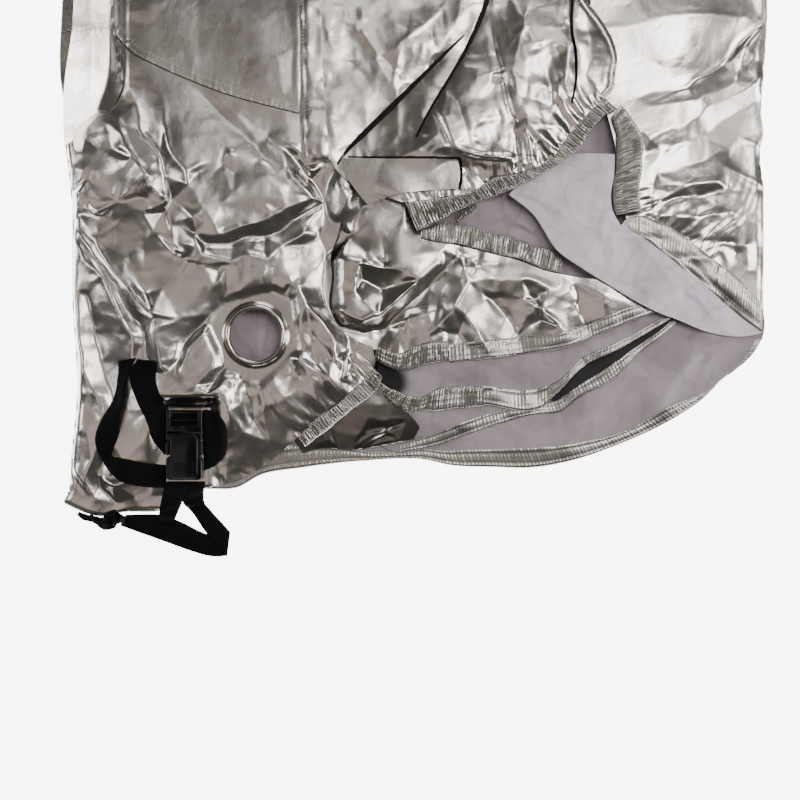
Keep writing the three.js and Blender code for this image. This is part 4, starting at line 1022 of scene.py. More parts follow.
# The centre panel, outside up, with a pleat at its left edge and a rounded right edge
CENTRE_CREASES = [
    [(-21, 227, 1), (-1, 208, 3), (34, 208, 3)],
    [(-43, 191, 1), (-14, 199, 3), (6, 203, 3)],
    [(47, 249, 2), (45, 227, 3)],
    [(20, 183, 1), (28, 160, 3), (26, 129, 4)],
    [(87, 211, 1), (97, 175, 3), (105, 146, 4), (114, 128, 3)],
    [(62, 169, 4), (76, 171, 3), (84, 169, 0)],
    [(48, 137, 3), (64, 127, 4), (84, 131, 1)],
    [(26, 129, 6), (39, 98, 5), (16, 95, 4), (-6, 91, 2)],
    [(39, 98, 5), (68, 88, 5), (111, 85, 4), (134, 89, 2)],
    [(44, 83, -2), (56, 72, -4), (72, 61, -4)],
    [(98, 249, 1), (110, 225, 4), (120, 204, 3), (123, 169, 2), (124, 133, 3), (132, 109, 2)],
    [(143, 249, 1), (141, 216, 2), (147, 197, 3), (148, 174, 3), (141, 151, 2)],
    [(172, 245, 2), (171, 216, 3), (175, 197, 4), (178, 173, 3), (172, 151, 2)],
    [(134, 189, 1), (138, 159, 0), (136, 133, 1)],
    [(-69, 229, 0.6), (-62, 179, -0.6), (-69, 129, 0.5)],
    [(-36, 243, 0), (-48, 209, 0.8), (-42, 165, 0)],
    [(0, 241, 0), (14, 225, 1.5), (26, 237, 0)],
    [(-14, 179, 0.5), (-28, 169, 1.6), (-44, 149, 0.5)],
    [(176, 127, 2), (186, 145, 3), (192, 165, 2)],
]
CENTRE_GROOVES = [
    Fold(-1.6, 6.0, 8.0, 0.5, [(56, 218), (20, 183), (-14, 149), (-48, 116), (-72, 92), (-78, 80)]),
    Fold(-1.6, 5.0, 7.0, 0.5, [(80, 290), (73, 249), (62, 219), (45, 186), (30, 161), (15, 136), (-8, 96)]),
    Fold(-1.3, 4.0, 5.4, 0.5, [(158, 290), (154, 216), (160, 190), (160, 165), (153, 143), (160, 128)]),
    Fold(1.2, 2.2, 2.2, 0.5, [(44, 96), (70, 91), (96, 90), (120, 88)]),
    Fold(-2.4, 2.4, 3.4, 0.6, [(76, 222), (80, 200), (87, 172), (94, 139), (105, 114)]),
    Fold(-2.2, 2.4, 3.4, 0.6, [(16, 146), (24, 128), (33, 108), (40, 90)]),
    Fold(-1.8, 2.0, 3.0, 0.6, [(40, 94), (62, 88), (96, 84)]),
]
# Where those folds are open: x, y and half the width of the opening
CENTRE_SLOTS = [
    [(50, 212, 0.9), (20, 183, 1.8), (-14, 149, 2.4), (-48, 116, 3.0), (-70, 93, 2.8), (-76, 84, 1.2)],
    [
        (78, 290, 2.4), (73, 249, 2.6), (62, 219, 2.4), (45, 186, 1.8), (30, 161, 1.3), (15, 136, 1.2),
        (2, 110, 1.0),
    ],
    [(157, 250, 1.2), (156, 216, 1.4), (160, 190, 1.6), (160, 165, 1.4), (156, 143, 1.1)],
    [
        (-66, 91, 0.8), (-40, 90, 1.2), (-10, 89.5, 1.3), (20, 89, 1.2), (45, 88.5, 1.3), (47, 76, 1.4),
        (45, 58, 1.2),
    ],
]


def slot_distance(table):
    """Distance to open folds, below 0 inside them."""
    away = np.full(X.shape, 50.0)
    for line in table:
        line = np.array(line, float)
        path = curve(line[:, :2])
        distance, position, _ = along(path, 14.0)
        shares = np.linspace(0.0, arc_lengths(path)[-1], len(line))
        away = np.minimum(away, distance - np.interp(position, shares, line[:, 2]))
    return away


# How far a place is to the right of the long groove, in millimetres
right_of_groove = 0.717 * (X + 78) - 0.697 * (Y - 80)
centre_loft = (
    23.0 + 2.0 * smooth_step((-20 - X) / 90)
    + 8.0 * smooth_step(right_of_groove / 70) * smooth_step((204 - X) / 50)
)
centre_crumple = (
    1.25 * faceted(CENTRE_CREASES, 101, 0.8) + folds(CENTRE_GROOVES)
    + 1.2 * wrinkles(30.0, 104) + 0.5 * wrinkles(13.0, 108)
    + creases(113, 30, (-20, 204, 60, 310), (20, 70), (3, 7), (0.4, 1.5))
)
centre_slots = slot_distance(CENTRE_SLOTS)
CENTRE_RIGHT = [(199, 160), (201, 175), (203, 191), (199, 207), (186, 230), (171, 249), (161, 309)]
CENTRE_OUTLINE = [
    (-113, 308), (-112, 180), (-110, 94), (-108, 82), (-84, 88), (-72, 72), (-40, 56),
] + MOUTH_EDGE + CENTRE_RIGHT + [(20, 307)]
centre = lay(
    CENTRE_OUTLINE, centre_loft + centre_crumple + puckers(MOUTH_EDGE, 6.0, 11.0, 1.3, 117),
    under=[back, third, second, skirt, right, flap, left_upper, left_lower],
    rolled=[([(190, 150)] + CENTRE_RIGHT, 12.0, 15.0), ([(161, 309), (20, 307), (-113, 308)], 8.0, 15.0)],
    hole=centre_slots,
)
# A nearly black sheet under the open folds, as painted shade: it stands for the cloth at the bottom of the
# folds
painted_shade_floor = Sheet(
    np.minimum(inset(curve(CENTRE_OUTLINE, closed=True)) - 9.0, 7.0 - centre_slots),
    centre.bottom - 6.5, centre.bottom - 6.5 + CLOTH,
)

# A fold of the centre panel that hangs out at its lower left
TAB_CREASES = [
    [(-25, 82, 1), (-20, 62, 2.5), (-15, 54, 1)],
    [(-58, 80, 1), (-40, 68, 2), (-34, 50, 0.5)],
    [(18, 84, 1), (22, 68, 2), (30, 58, 1)],
]
tab = lay(
    [
        (-73, 89), (-10, 88), (43, 87), (45, 78), (43, 58), (7, 56), (-16, 53), (-46, 43),
        (-60, 60), (-69, 74),
    ],
    31.5 + 0.06 * X + 0.8 * faceted(TAB_CREASES, 121, 0.3), detail=1.6, under=[centre, left_lower],
)

# The pleat at the centre panel's left edge
pleat = lay(
    [
        (-113, 308), (-112.5, 180), (-110.5, 94), (-108.5, 82), (-84, 87), (-88, 134), (-91, 180), (-91, 308),
    ],
    0.0, under=[centre], detail=2.2 - 0.045 * (X + 113) + 1.1 * noise(24.0, 225) + 0.5 * noise(9.0, 226),
)


def paint_shade_on_faces(piece, outline, finish):
    """The upper faces inside an outline take a darker finish: painted shade for cloth in a fold."""
    count = len(piece.data.polygons)
    middle = np.zeros(3 * count, np.float32)
    piece.data.polygons.foreach_get("center", middle)
    index = np.zeros(count, np.int32)
    piece.data.polygons.foreach_get("material_index", index)
    x, y, _ = middle.reshape(-1, 3).T / MM
    inside = at(inset(curve(outline, closed=True)), x, y) > 0
    index[inside & (index == 0)] = len(piece.data.materials)
    piece.data.materials.append(finish)
    piece.data.polygons.foreach_set("material_index", index)


Cloth = namedtuple(
    "Cloth", "name sheet nodes rests_on slot under finish held stride",
    defaults=("silver_cloth", None, None, "folded", 1),
)
CLOTHS = [
    Cloth("back_sheet", back, ["back_panel"], [], "lining_side", silver, held="laid", stride=2),
    Cloth(
        "third_sheet", third, ["third_layer"], ["back_sheet"], "lining_side", silver, held="laid", stride=2,
    ),
    Cloth("second_sheet", second, ["second_layer"], ["third_sheet"], "lining_side", silver, held="laid"),
    Cloth("skirt_sheet", skirt, ["front_skirt"], ["second_sheet"], under=lining),
    Cloth("right_third", right, ["back_panel"], ["second_sheet"], under=lining),
    # The flap's inside takes the paler copy of the lining: painted light.
    Cloth("flap_sheet", flap, ["turned_flap"], ["right_third"], "lining_side", silver, painted_light_lining),
    # Painted shade: this sheet takes the darker copy of the silver.
    Cloth("under_left_sheet", under_left, [], ["third_sheet"], finish=painted_shade_silver),
    Cloth("left_sheet", left_lower, ["left_panel"], ["back_sheet"], under=lining),
    Cloth("upper_left_sheet", left_upper, ["upper_left_panel"], ["back_sheet"], under=lining),
    Cloth("corner_sheet", corner, ["corner_fold"], ["upper_left_sheet"]),
    Cloth("centre_sheet", centre, ["centre_panel"], ["skirt_sheet"], under=lining),
    Cloth("centre_tab", tab, [], ["centre_sheet"]),
    Cloth("pleat", pleat, [], ["centre_sheet"]),
]
cloth_pieces = [
    add(c.name, grid_mesh(c.name, c.sheet, c.stride), c.slot, c.nodes, c.under, c.finish) for c in CLOTHS
]
# The sheet under the open folds is painted shade, in the nearly black lining.
add("painted_shade_floor", grid_mesh("painted_shade_floor", painted_shade_floor, 2), "lining_side", finish=painted_shade_lining)
# Painted shade: the third sheet's faces in the gap under the second sheet's hem turn nearly black.
PAINTED_SHADE_UNDER_SECOND = [
    (262, -48), (252, -58), (200, -88), (166, -106), (138, -128), (136, -152), (146, -156), (164, -143),
    (190, -126), (206, -115), (220, -102), (230, -96), (250, -82), (264, -68), (270, -60),
]
paint_shade_on_faces(bpy.data.objects["third_sheet"], PAINTED_SHADE_UNDER_SECOND, painted_shade_lining)


# Strips between two rails: hems, elastic bands and webbing
def strip_mesh(name, x, y, high, low):
    """A closed strip from its upper side and underside: rows along it, columns from right to left."""
    rows, columns = x.shape
    ids = np.arange(rows * columns).reshape(rows, columns)
    quads = np.stack([ids[:-1, :-1], ids[1:, :-1], ids[1:, 1:], ids[:-1, 1:]], -1).reshape(-1, 4)
    count = rows * columns
    loop = np.concatenate([ids[:-1, 0], ids[-1, :-1], ids[:0:-1, -1], ids[0, :0:-1]])
    following = np.roll(loop, -1)
    walls = np.column_stack([loop + count, following + count, following, loop])
    faces = np.vstack([quads, quads[:, ::-1] + count, walls])
    points = np.concatenate([np.stack([x, y, z], -1) for z in (high, low)])
    mesh = smooth_mesh(name, points, faces.tolist(), sharp=65)
    layer = mesh.uv_layers.new(name="UVMap")
    u, v = np.meshgrid(np.arange(rows), np.arange(columns), indexing="ij")
    flat = np.tile(np.column_stack([u.ravel(), v.ravel()]) / columns, (2, 1))
    layer.data.foreach_set("uv", flat[faces.ravel()].astype(np.float32).ravel())
    return mesh


def support_of(sheets):
    """The highest upper side of some sheets, or the surface under them."""
    support = np.zeros(X.shape)
    for lower in sheets:
        support = np.maximum(support, np.where(lower.inset > -CELL, lower.top, 0.0))
    return support


def between_rails(near, far, step, columns):
    """Points of a strip between two rails: the far one is to the left of the near one."""
    near, far = curve(near), curve(far)
    count = int(max(arc_lengths(near)[-1], arc_lengths(far)[-1]) / step)
    a, b = even(near, count), even(far, count)
    v = np.linspace(0.0, 1.0, columns)
    points = a[:, None] + (b - a)[:, None] * v[None, :, None]
    run = np.linspace(0.0, arc_lengths(near)[-1], count + 1)
    return points[..., 0], points[..., 1], np.repeat(run[:, None], columns, 1), np.tile(v, (count + 1, 1))


def width_of(x, y):
    return np.hypot(x[:, -1] - x[:, 0], y[:, -1] - y[:, 0])


# How far apart a band's ribs are, how thick it is, and its mesh
RIB = 2.9
BAND = 2.0
BAND_STEP = 0.8
BAND_COLUMNS = 15


def band(name, near, far, panel, under, drop, seed, rows=4):
    """A hem gathered on elastic, with ribs across it: its mesh, its stitching's lines and its width."""
    x, y, run, v = between_rails(near, far, BAND_STEP, BAND_COLUMNS)
    support = at(support_of(under), x, y)
    carried = at(panel.bottom, x[:, :1], y[:, :1])
    width = width_of(x, y)[:, None]
    low = np.maximum(carried - drop * v, support + 0.8)
    phase = run / RIB + 0.5 * wandering(run, 17.0, seed) + 0.14 * noise(14.0, seed + 1, x, y)
    ribs = 1.3 * triangle_wave(phase) * (0.7 + 0.3 * noise(7.0, seed + 2, x, y))
    fine = 0.12 * triangle_wave(2.3 * phase + 0.4 * noise(5.0, seed + 3, x, y))
    rim = np.sqrt(np.clip(1.0 - (2.0 * v - 1.0) ** 8, 0.0, 1.0))
    rows_at = [(k + 0.5) / rows for k in range(rows)]
    grooves = sum(np.exp(-(((v - at_row) * width / 0.9) ** 2)) for at_row in rows_at)
    sway = 0.8 * wandering(run, 9.0, seed + 4) * (2.0 * v - 1.0)
    middle = BAND_COLUMNS // 2
    left = left_of(np.column_stack([x[:, middle], y[:, middle]]))
    x, y = x + left[:, :1] * sway, y + left[:, 1:] * sway
    high = low + BAND * (0.35 + 0.65 * rim) + (ribs + fine) * rim - 0.4 * grooves
    columns = [round(row * (BAND_COLUMNS - 1)) for row in rows_at]
    lines = [np.column_stack([x[:, k], y[:, k], high[:, k]]) for k in columns]
    return strip_mesh(name, x, y, high, low), lines, float(width_of(x, y).mean())


# A hem's mesh, its rows of stitching, its height and how far it reaches over the edge
HEM = {"step": 0.9, "columns": 13, "rows": (3, 9), "height": 0.5, "over": 0.7}


def hem(name, near, far, sheet, seed):
    """A turned edge that lies flat, pinched at its rows of stitching: its mesh and those lines."""
    x, y, run, v = between_rails(near, far, HEM["step"], HEM["columns"])
    width = width_of(x, y)[:, None]
    seat = at(sheet.top, x, y)
    body = smooth_step(v * width / 1.5) * smooth_step((1 - v) * width / 1.0)
    sewn_at = [row / (HEM["columns"] - 1) for row in HEM["rows"]]
    pinch = sum(np.exp(-(((v - place) * width / 1.1) ** 2)) for place in sewn_at)
    swell = 0.08 * triangle_wave(run / 9.0 + 0.7 * wandering(run, 15.0, seed))
    swell = swell + 0.1 * noise(14.0, seed + 1, x, y)
    quilt = 0.12 * np.cos(2 * math.pi * run / 3.6 + 1.6 * wandering(run, 20.0, seed + 2))
    high = seat + 0.1 + (HEM["height"] + swell + quilt) * body - 0.4 * pinch * body
    high[:, 0] = at(sheet.bottom, x[:, 0], y[:, 0]) + 0.2
    low = np.minimum(seat + 0.05, high - 0.1)
    low[:, 0] = at(sheet.bottom, x[:, 0], y[:, 0]) - 0.1
    lines = [np.column_stack([x[:, k], y[:, k], high[:, k] + 0.16]) for k in HEM["rows"]]
    return strip_mesh(name, x, y, high, low), lines


STITCH = {"pitch": 3.4, "length": 2.1, "radius": 0.42, "sides": 5}


def stitches(name, lines, pitch=STITCH["pitch"], length=STITCH["length"], finish=thread):
    """Small threads along lines of points in space."""
    turns = [2 * math.pi * k / STITCH["sides"] for k in range(STITCH["sides"])]
    ring = [(math.cos(turn), math.sin(turn)) for turn in turns]
    points, faces = [], []
    for line in lines:
        line = np.asarray(line, float)
        lengths = np.concatenate([[0.0], np.cumsum(np.linalg.norm(np.diff(line, axis=0), axis=1))])
        for middle in np.arange(pitch, lengths[-1] - pitch / 2, pitch):
            ends = middle + np.array([-0.5, 0.5]) * length
            a, b = (np.array([np.interp(e, lengths, line[:, k]) for k in range(3)]) for e in ends)
            ahead = (b - a) / np.linalg.norm(b - a)
            side = np.cross([0.0, 0.0, 1.0], ahead)
            side /= np.linalg.norm(side)
            up = np.cross(ahead, side)
            start = len(points)
            for share, size in ((0.0, 0.35), (0.5, 1.0), (1.0, 0.35)):
                centre = a + (b - a) * share
                for c, d in ring:
                    points.append(centre + STITCH["radius"] * size * (c * side + d * up))
            faces.extend(stacked_rings(start, 3, STITCH["sides"]))
    add(name, smooth_mesh(name, points, faces), "elastic_hem", finish=finish)


def on(field, path, lift=0.2):
    """A line in plan laid on a height field."""
    path = even(path, int(arc_lengths(path)[-1] / 1.5))
    return np.column_stack([path, at(field, path[:, 0], path[:, 1]) + lift])


def sewn_hem(name, near, far, sheet, seed):
    """A hem and its stitching, as two pieces."""
    mesh, lines = hem(name, near, far, sheet, seed)
    add(name, mesh, "silver_cloth", finish=hem_cloth)
    stitches(name + "_stitches", lines)


OUTER_HEM_INNER = [
    (-204, -229), (-176, -217), (-152, -204), (-124, -198), (-101, -197), (-93, -197), (-60, -200),
    (-44, -203), (-15, -203), (8, -200), (31, -202), (56, -201), (98, -200), (139, -198),
    (171, -193), (194, -188), (225, -176), (253, -160), (306, -135), (334, -105), (344, -90),
]
THIRD_HEM_INNER = [
    (266, -64), (248, -80), (228, -94), (216, -102), (204, -111), (190, -120), (164, -137), (146, -150),
    (121, -156), (84, -162), (35, -179), (-14, -196),
]
SECOND_HEM_INNER = [(258, -63), (206, -92), (170, -108), (142, -133), (127, -139), (70, -137)]
SKIRT_HEM_INNER = [
    (244, -51), (226, -55), (186, -69), (145, -84), (112, -87), (73, -91), (35, -96),
]
for name, outer, inner, sheet, seed in (
    ("outer_hem", LOWER_HEM, OUTER_HEM_INNER, back, 201),
    ("third_hem", THIRD_HEM[::-1], THIRD_HEM_INNER[::-1], third, 205),
    ("second_hem", SECOND_HEM[::-1], SECOND_HEM_INNER[::-1], second, 209),
    ("skirt_hem", SKIRT_HEM[::-1], SKIRT_HEM_INNER[::-1], skirt, 213),
):
    sewn_hem(name, offset(curve(outer), -HEM["over"]), inner, sheet, seed)
sewn_hem("turned_hem", TURNED_HEM_INNER, TURNED_HEM_OUTER, flap, 217)
PLEAT_EDGE = [(-110.5, 306), (-110, 180), (-108, 94)]
WEDGE_SEAM = [(-339, 216), (-322, 219), (-303, 222)]
PLEAT_SEAM = [(-111, 137), (-92, 139)]
stitches("seam_stitches", [
    on(left_upper.top, offset(seam, away)[1:-1]) for away in (2.6, 8.2)
] + [
    on(top, offset(curve(line), away))
    for top, line in ((corner.top, WEDGE_SEAM), (pleat.top, PLEAT_SEAM)) for away in (0.0, 5.0)
] + [on(pleat.top, curve(PLEAT_EDGE))])

# The gathered elastic bands
LOW = [back, third, second]
BANDS = {
    "upper_band": dict(
        near=MOUTH_EDGE[::-1],
        far=[
            (203, 140), (191, 133), (176, 116), (161, 95), (141, 82), (117, 66), (90, 55), (59, 44), (29, 29),
            (3, 17),
        ],
        panel=centre, under=LOW + [skirt, flap, right], drop=5.0, seed=301, node="upper_elastic",
        rests_on=["second_sheet", "flap_sheet"],
    ),
    "loose_end": dict(
        near=[(44, 26), (50, 32), (58, 37), (64, 42)], far=[(42, 32), (47, 38), (54, 43), (60, 47)],
        panel=second, under=LOW, drop=0.0, seed=361, node=None, rests_on=[], rows=2,
    ),
    "right_band": dict(
        near=[
            (197, 131), (201, 117), (202.4, 100), (201, 80), (198.6, 66), (197.6, 54), (198.6, 39.5),
            (202, 33),
        ],
        far=[(206, 143), (216, 131), (228, 107), (228, 92), (227, 80), (225, 62), (225, 48), (226, 38)],
        panel=flap, under=LOW + [right], drop=0.0, seed=311, node="right_elastic",
        rests_on=["right_third"],
    ),
    "inner_band": dict(
        near=[(7, 10), (14, 8), (45, 3), (78, -5), (106, -12), (132, -22), (146, -25)],
        far=[(7, 19), (32, 26), (56, 23), (92, 13), (120, 5), (140, -4), (148, -12)],
        panel=skirt, under=LOW, drop=0.0, seed=321, node="inner_elastic", rests_on=["second_sheet"],
    ),
    "skirt_band": dict(
        near=[(34, -92), (10, -94), (-14, -104), (-37, -96)],
        far=[(34, -112), (14, -115), (-14, -122), (-40, -112)],
        panel=skirt, under=LOW, drop=2.0, seed=331, node="skirt_elastic", rests_on=["second_sheet"],
    ),
    "second_band": dict(
        near=[(70, -137), (38, -137), (20, -141), (6, -148), (-8, -146), (-24, -138), (-38, -130)],
        far=[(70, -157), (38, -160), (16, -162), (-6, -163), (-22, -156), (-35, -146), (-42, -137)],
        panel=second, under=[back, third], drop=1.0, seed=341, node="second_elastic",
        rests_on=["third_sheet"],
    ),
    "left_band": dict(
        near=[(-41, -118), (-47, -127), (-71, -149), (-98, -170), (-116, -188)],
        far=[(-31, -128), (-36, -139), (-60, -160), (-87, -181), (-109, -198)],
        panel=left_lower, under=LOW + [skirt], drop=3.0, seed=351, node="left_elastic",
        rests_on=["under_left_sheet"],
    ),
}
for band_name, made in BANDS.items():
    node, rests_on = made.pop("node"), made.pop("rests_on")
    band_mesh, band_lines, band_width = band(band_name, **made)
    band_piece = add(band_name, band_mesh, "elastic_hem", [node] if node else [])
    stitches(band_name + "_stitches", band_lines, finish=elastic)


# The eyelet: a flanged ring pressed through the cloth
def revolve(name, profile, segments):
    """A closed ring from a profile of radius and height, round the upright axis."""
    profile = np.array(profile, float)
    angles = np.linspace(0.0, 2 * math.pi, segments, endpoint=False)
    points = np.stack([
        np.cos(angles)[:, None] * profile[None, :, 0] + EYELET["x"],
        np.sin(angles)[:, None] * profile[None, :, 0] + EYELET["y"],
        np.repeat(profile[None, :, 1], segments, 0),
    ], -1)
    count = len(profile)
    ids = np.arange(segments * count).reshape(segments, count)
    after, beside = np.roll(ids, -1, 0), np.roll(ids, -1, 1)
    faces = np.stack([ids, beside, np.roll(after, -1, 1), after], -1).reshape(-1, 4)
    return smooth_mesh(name, points, faces.tolist(), sharp=50)


# Radius and height of the eyelet's section
RING = [
    (25.5, 16.0), (25.5, 22.4), (25.8, 23.5), (26.5, 24.4), (27.6, 24.8), (28.8, 24.7), (30.0, 24.0),
    (30.9, 22.9), (31.6, 22.2), (32.6, 22.0), (33.5, 21.6), (34.0, 20.9), (33.9, 20.2), (33.3, 20.0),
    (28.0, 20.0), (27.6, 16.0),
]
add("eyelet", revolve("eyelet", RING, 96), "eyelet_metal", ["eyelet_ring"])
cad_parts["eyelet_washer"].data.materials[0] = nickel


# The black strap
ON_CLOTH = 0.4
WEBBING = 1.4
CROSSING = ON_CLOTH + WEBBING + 0.5
# A place along a strap: its right and left edge, its lift and how much more its left edge is up
Row = namedtuple("Row", "right left lift tip", defaults=(ON_CLOTH, 0))
LEFT_LEG = [
    Row((-295, -112), (-277, -109)), Row((-296, -128), (-285.5, -126), tip=4.5),
    Row((-301, -150), (-291, -150), tip=7.5), Row((-314, -173), (-294, -173), tip=4.5),
    Row((-319, -191), (-297, -191)), Row((-314, -208), (-303, -205)), Row((-305, -222), (-299, -208)),
    Row((-292, -233), (-288, -210)), Row((-270, -238), (-270, -214)), Row((-248, -239), (-248, -216)),
]
RIGHT_LEG = [
    Row((-275.5, -110), (-257, -113)), Row((-284, -128), (-258, -132)), Row((-276, -153), (-253, -147)),
    Row((-267, -172), (-246, -161)), Row((-260, -190), (-236, -180)), Row((-250, -206), (-228, -196)),
]
LOOP = [
    Row((-233, -232.5), (-209, -232.5)), Row((-233, -252), (-211, -252)), Row((-222, -266), (-203, -264)),
    Row((-208, -286), (-190, -278), 2.0), Row((-188, -308), (-185, -284), 2.0),
]
HEM_RUN = [
    Row((-185, -284), (-188, -308), 0.1), Row((-208, -286), (-204, -308.5), 0.1),
    Row((-234, -274), (-223, -303.6), 0.1), Row((-256, -266.5), (-250, -294), 0.1),
    Row((-290, -266.5), (-296, -277.5), 0.1),
]
TAIL = [
    Row((-247, -232.5), (-224, -232.5), CROSSING), Row((-253, -250), (-232, -252), CROSSING),
    Row((-257, -272), (-241, -273), WEBBING + 1.3),
]
SIDE_FOLD = [
    Row((-210.4, -161), (-201, -161)), Row((-210.4, -176), (-188, -176)), Row((-210.4, -204), (-188, -204)),
    Row((-210.4, -222), (-199, -217)),
]


def through(values, t):
    """A smooth run through rows of values at places between them."""
    values = np.array(values, float)
    k = np.clip(t.astype(int), 0, len(values) - 2)
    s = (t - k)[:, None]
    p0, p1 = values[np.maximum(k - 1, 0)], values[k]
    p2, p3 = values[k + 1], values[np.minimum(k + 2, len(values) - 1)]
    return p1 + 0.5 * s * (p2 - p0 + s * (2 * p0 - 5 * p1 + 4 * p2 - p3 + s * (3 * (p1 - p2) + p3 - p0)))


strap_support = support_of([back, left_lower])
STRAP_COLUMNS = 9
STEPS_PER_ROW = 10


def webbing_strip(name, rows, thickness):
    """A length of webbing on the cloth under it, and the points of its upper side."""
    t = np.linspace(0.0, len(rows) - 1, STEPS_PER_ROW * (len(rows) - 1) + 1)
    right, left = through([r.right for r in rows], t), through([r.left for r in rows], t)
    lifts = through([(r.lift, r.tip) for r in rows], t)
    v = np.linspace(0.0, 1.0, STRAP_COLUMNS)
    points = right[:, None] + (left - right)[:, None] * v[None, :, None]
    x, y = points[..., 0], points[..., 1]
    under = at(strap_support, x, y)
    seat = under.max(1)
    seat = np.array([seat[max(k - 3, 0):k + 4].max() for k in range(len(seat))])
    low = np.maximum(seat[:, None] * 0.6 + under * 0.4, under) + lifts[:, :1] + lifts[:, 1:] * v[None, :]
    rim = np.sqrt(np.clip(1.0 - (2.0 * v - 1.0) ** 10, 0.0, 1.0))[None, :]
    high = low + thickness * (0.45 + 0.55 * rim)
    return strip_mesh(name, x, y, high, low), np.stack([x, y, high], -1)


for strap, node, rows, thickness, rests_on in (
    ("left_leg", "strap_left_leg", LEFT_LEG, WEBBING, ["left_sheet"]),
    ("right_leg", "strap_right_leg", RIGHT_LEG, WEBBING, ["left_sheet"]),
    ("loop_down", "strap_loop", LOOP, WEBBING, ["left_sheet"]),
    ("loop_back", "strap_loop", HEM_RUN, WEBBING, []),
    ("tail", "strap_tail", TAIL, WEBBING, ["loop_down"]),
    ("side_fold", "strap_side_fold", SIDE_FOLD, 2 * WEBBING, ["left_sheet"]),
):
    strap_mesh, surface = webbing_strip(strap, rows, thickness)
    add(strap, strap_mesh, "webbing", [node])
    if strap.endswith("leg"):
        rows_of_tack = [surface[k, 1:-1] + (0, 0, 0.15) for k in (1, 2, 3, 4)]
        stitches(strap + "_bar_tack", rows_of_tack, 1.5, 1.3, webbing)

KNOT_ROUTE = [
    (-290, -272, 12, 3), (-298, -270, 13, 5), (-304, -273, 16, 9), (-311, -275, 14, 9),
    (-317, -273, 9, 5), (-323, -270.5, 8, 4), (-331, -269, 7, 4), (-338, -265, 5, 3),
]
KNOT_WRAP = [
    (-300, -264, 6, 3), (-307, -267, 7, 4), (-311, -273, 7, 4), (-307, -279, 6, 4), (-300, -277, 5, 3),
]


def twisted(name, route, turn, seed, lowest=0.4, sides=14, step=1.0):
    """A strip that twists as it runs, resting at its lowest points: x, y, width and thickness."""
    route = np.array(route, float)
    path = curve(route[:, :2], step=step)
    run = arc_lengths(path)
    placed = np.interp(np.linspace(0, 1, len(path)), np.linspace(0, 1, len(route)), np.arange(len(route)))
    width, thickness = (np.interp(placed, np.arange(len(route)), route[:, k])[:, None] for k in (2, 3))
    across = left_of(path)
    roll = np.radians(turn) * np.sin(2 * math.pi * run / 15.0 + seed) + 0.5 * wandering(run, 6.0, seed)
    angles = np.linspace(0.0, 2 * math.pi, sides, endpoint=False)
    flat, upright = np.cos(angles), np.sign(np.sin(angles)) * np.abs(np.sin(angles)) ** 0.5
    size = 1.0 - 0.22 * np.abs(wandering(run, 5.0, seed + 1))[:, None]
    u = 0.5 * width * size * flat[None, :]
    v = 0.5 * thickness * upright[None, :]
    side = u * np.cos(roll)[:, None] - v * np.sin(roll)[:, None]
    rise = u * np.sin(roll)[:, None] + v * np.cos(roll)[:, None]
    rise = rise - rise.min(1)[:, None] + lowest
    points = np.concatenate([path[:, None] + across[:, None] * side[..., None], rise[..., None]], -1)
    rows = len(path)
    ids = np.arange(rows * sides).reshape(rows, sides)
    beside = np.roll(ids, -1, 1)
    quads = np.stack([ids[:-1], ids[1:], beside[1:], beside[:-1]], -1).reshape(-1, 4).tolist()
    return smooth_mesh(name, points, quads + [ids[0].tolist(), ids[-1][::-1].tolist()], sharp=60)


add("knot", twisted("knot", KNOT_ROUTE, 35, 3), "webbing", ["strap_knot"])
add("knot_wrap", twisted("knot_wrap", KNOT_WRAP, 30, 5, lowest=5.0), "webbing")


# The side-release buckle
def rounded(left, right, near, far, radius, steps=5):
    """A rectangle with round corners, anticlockwise."""
    centres = [
        (right - radius, near + radius, -90), (right - radius, far - radius, 0),
        (left + radius, far - radius, 90), (left + radius, near + radius, 180),
    ]
    points = []
    for x, y, start in centres:
        for k in range(steps + 1):
            angle = math.radians(start + 90.0 * k / steps)
            points.append((x + radius * math.cos(angle), y + radius * math.sin(angle)))
    return np.array(points)


def moulding(name, slabs):
    """Plates with rounded rims, each an outline with its lower and upper height and its rim."""
    points, faces = [], []
    for outline, low, high, rim in slabs:
        inward = left_of(outline, closed=True)
        levels = [
            (rim, low), (0.3 * rim, low + 0.3 * rim), (0.0, low + rim),
            (0.0, high - rim), (0.13 * rim, high - 0.5 * rim), (0.5 * rim, high - 0.13 * rim), (rim, high),
        ]
        start = len(points)
        for away, z in levels:
            points.extend((*p, z) for p in outline + away * inward)
        faces.extend(stacked_rings(start, len(levels), len(outline)))
    return smooth_mesh(name, points, faces, sharp=35)


def about_buckle(half_width, near, far, radius):
    return rounded(BUCKLE["x"] - half_width, BUCKLE["x"] + half_width, near, far, radius)


def beside_buckle(inner, outer, near, far, radius):
    """The same outline at the buckle's left and at its right."""
    x = BUCKLE["x"]
    sides = (x - outer, x - inner), (x + inner, x + outer)
    return [rounded(left, right, near, far, radius) for left, right in sides]


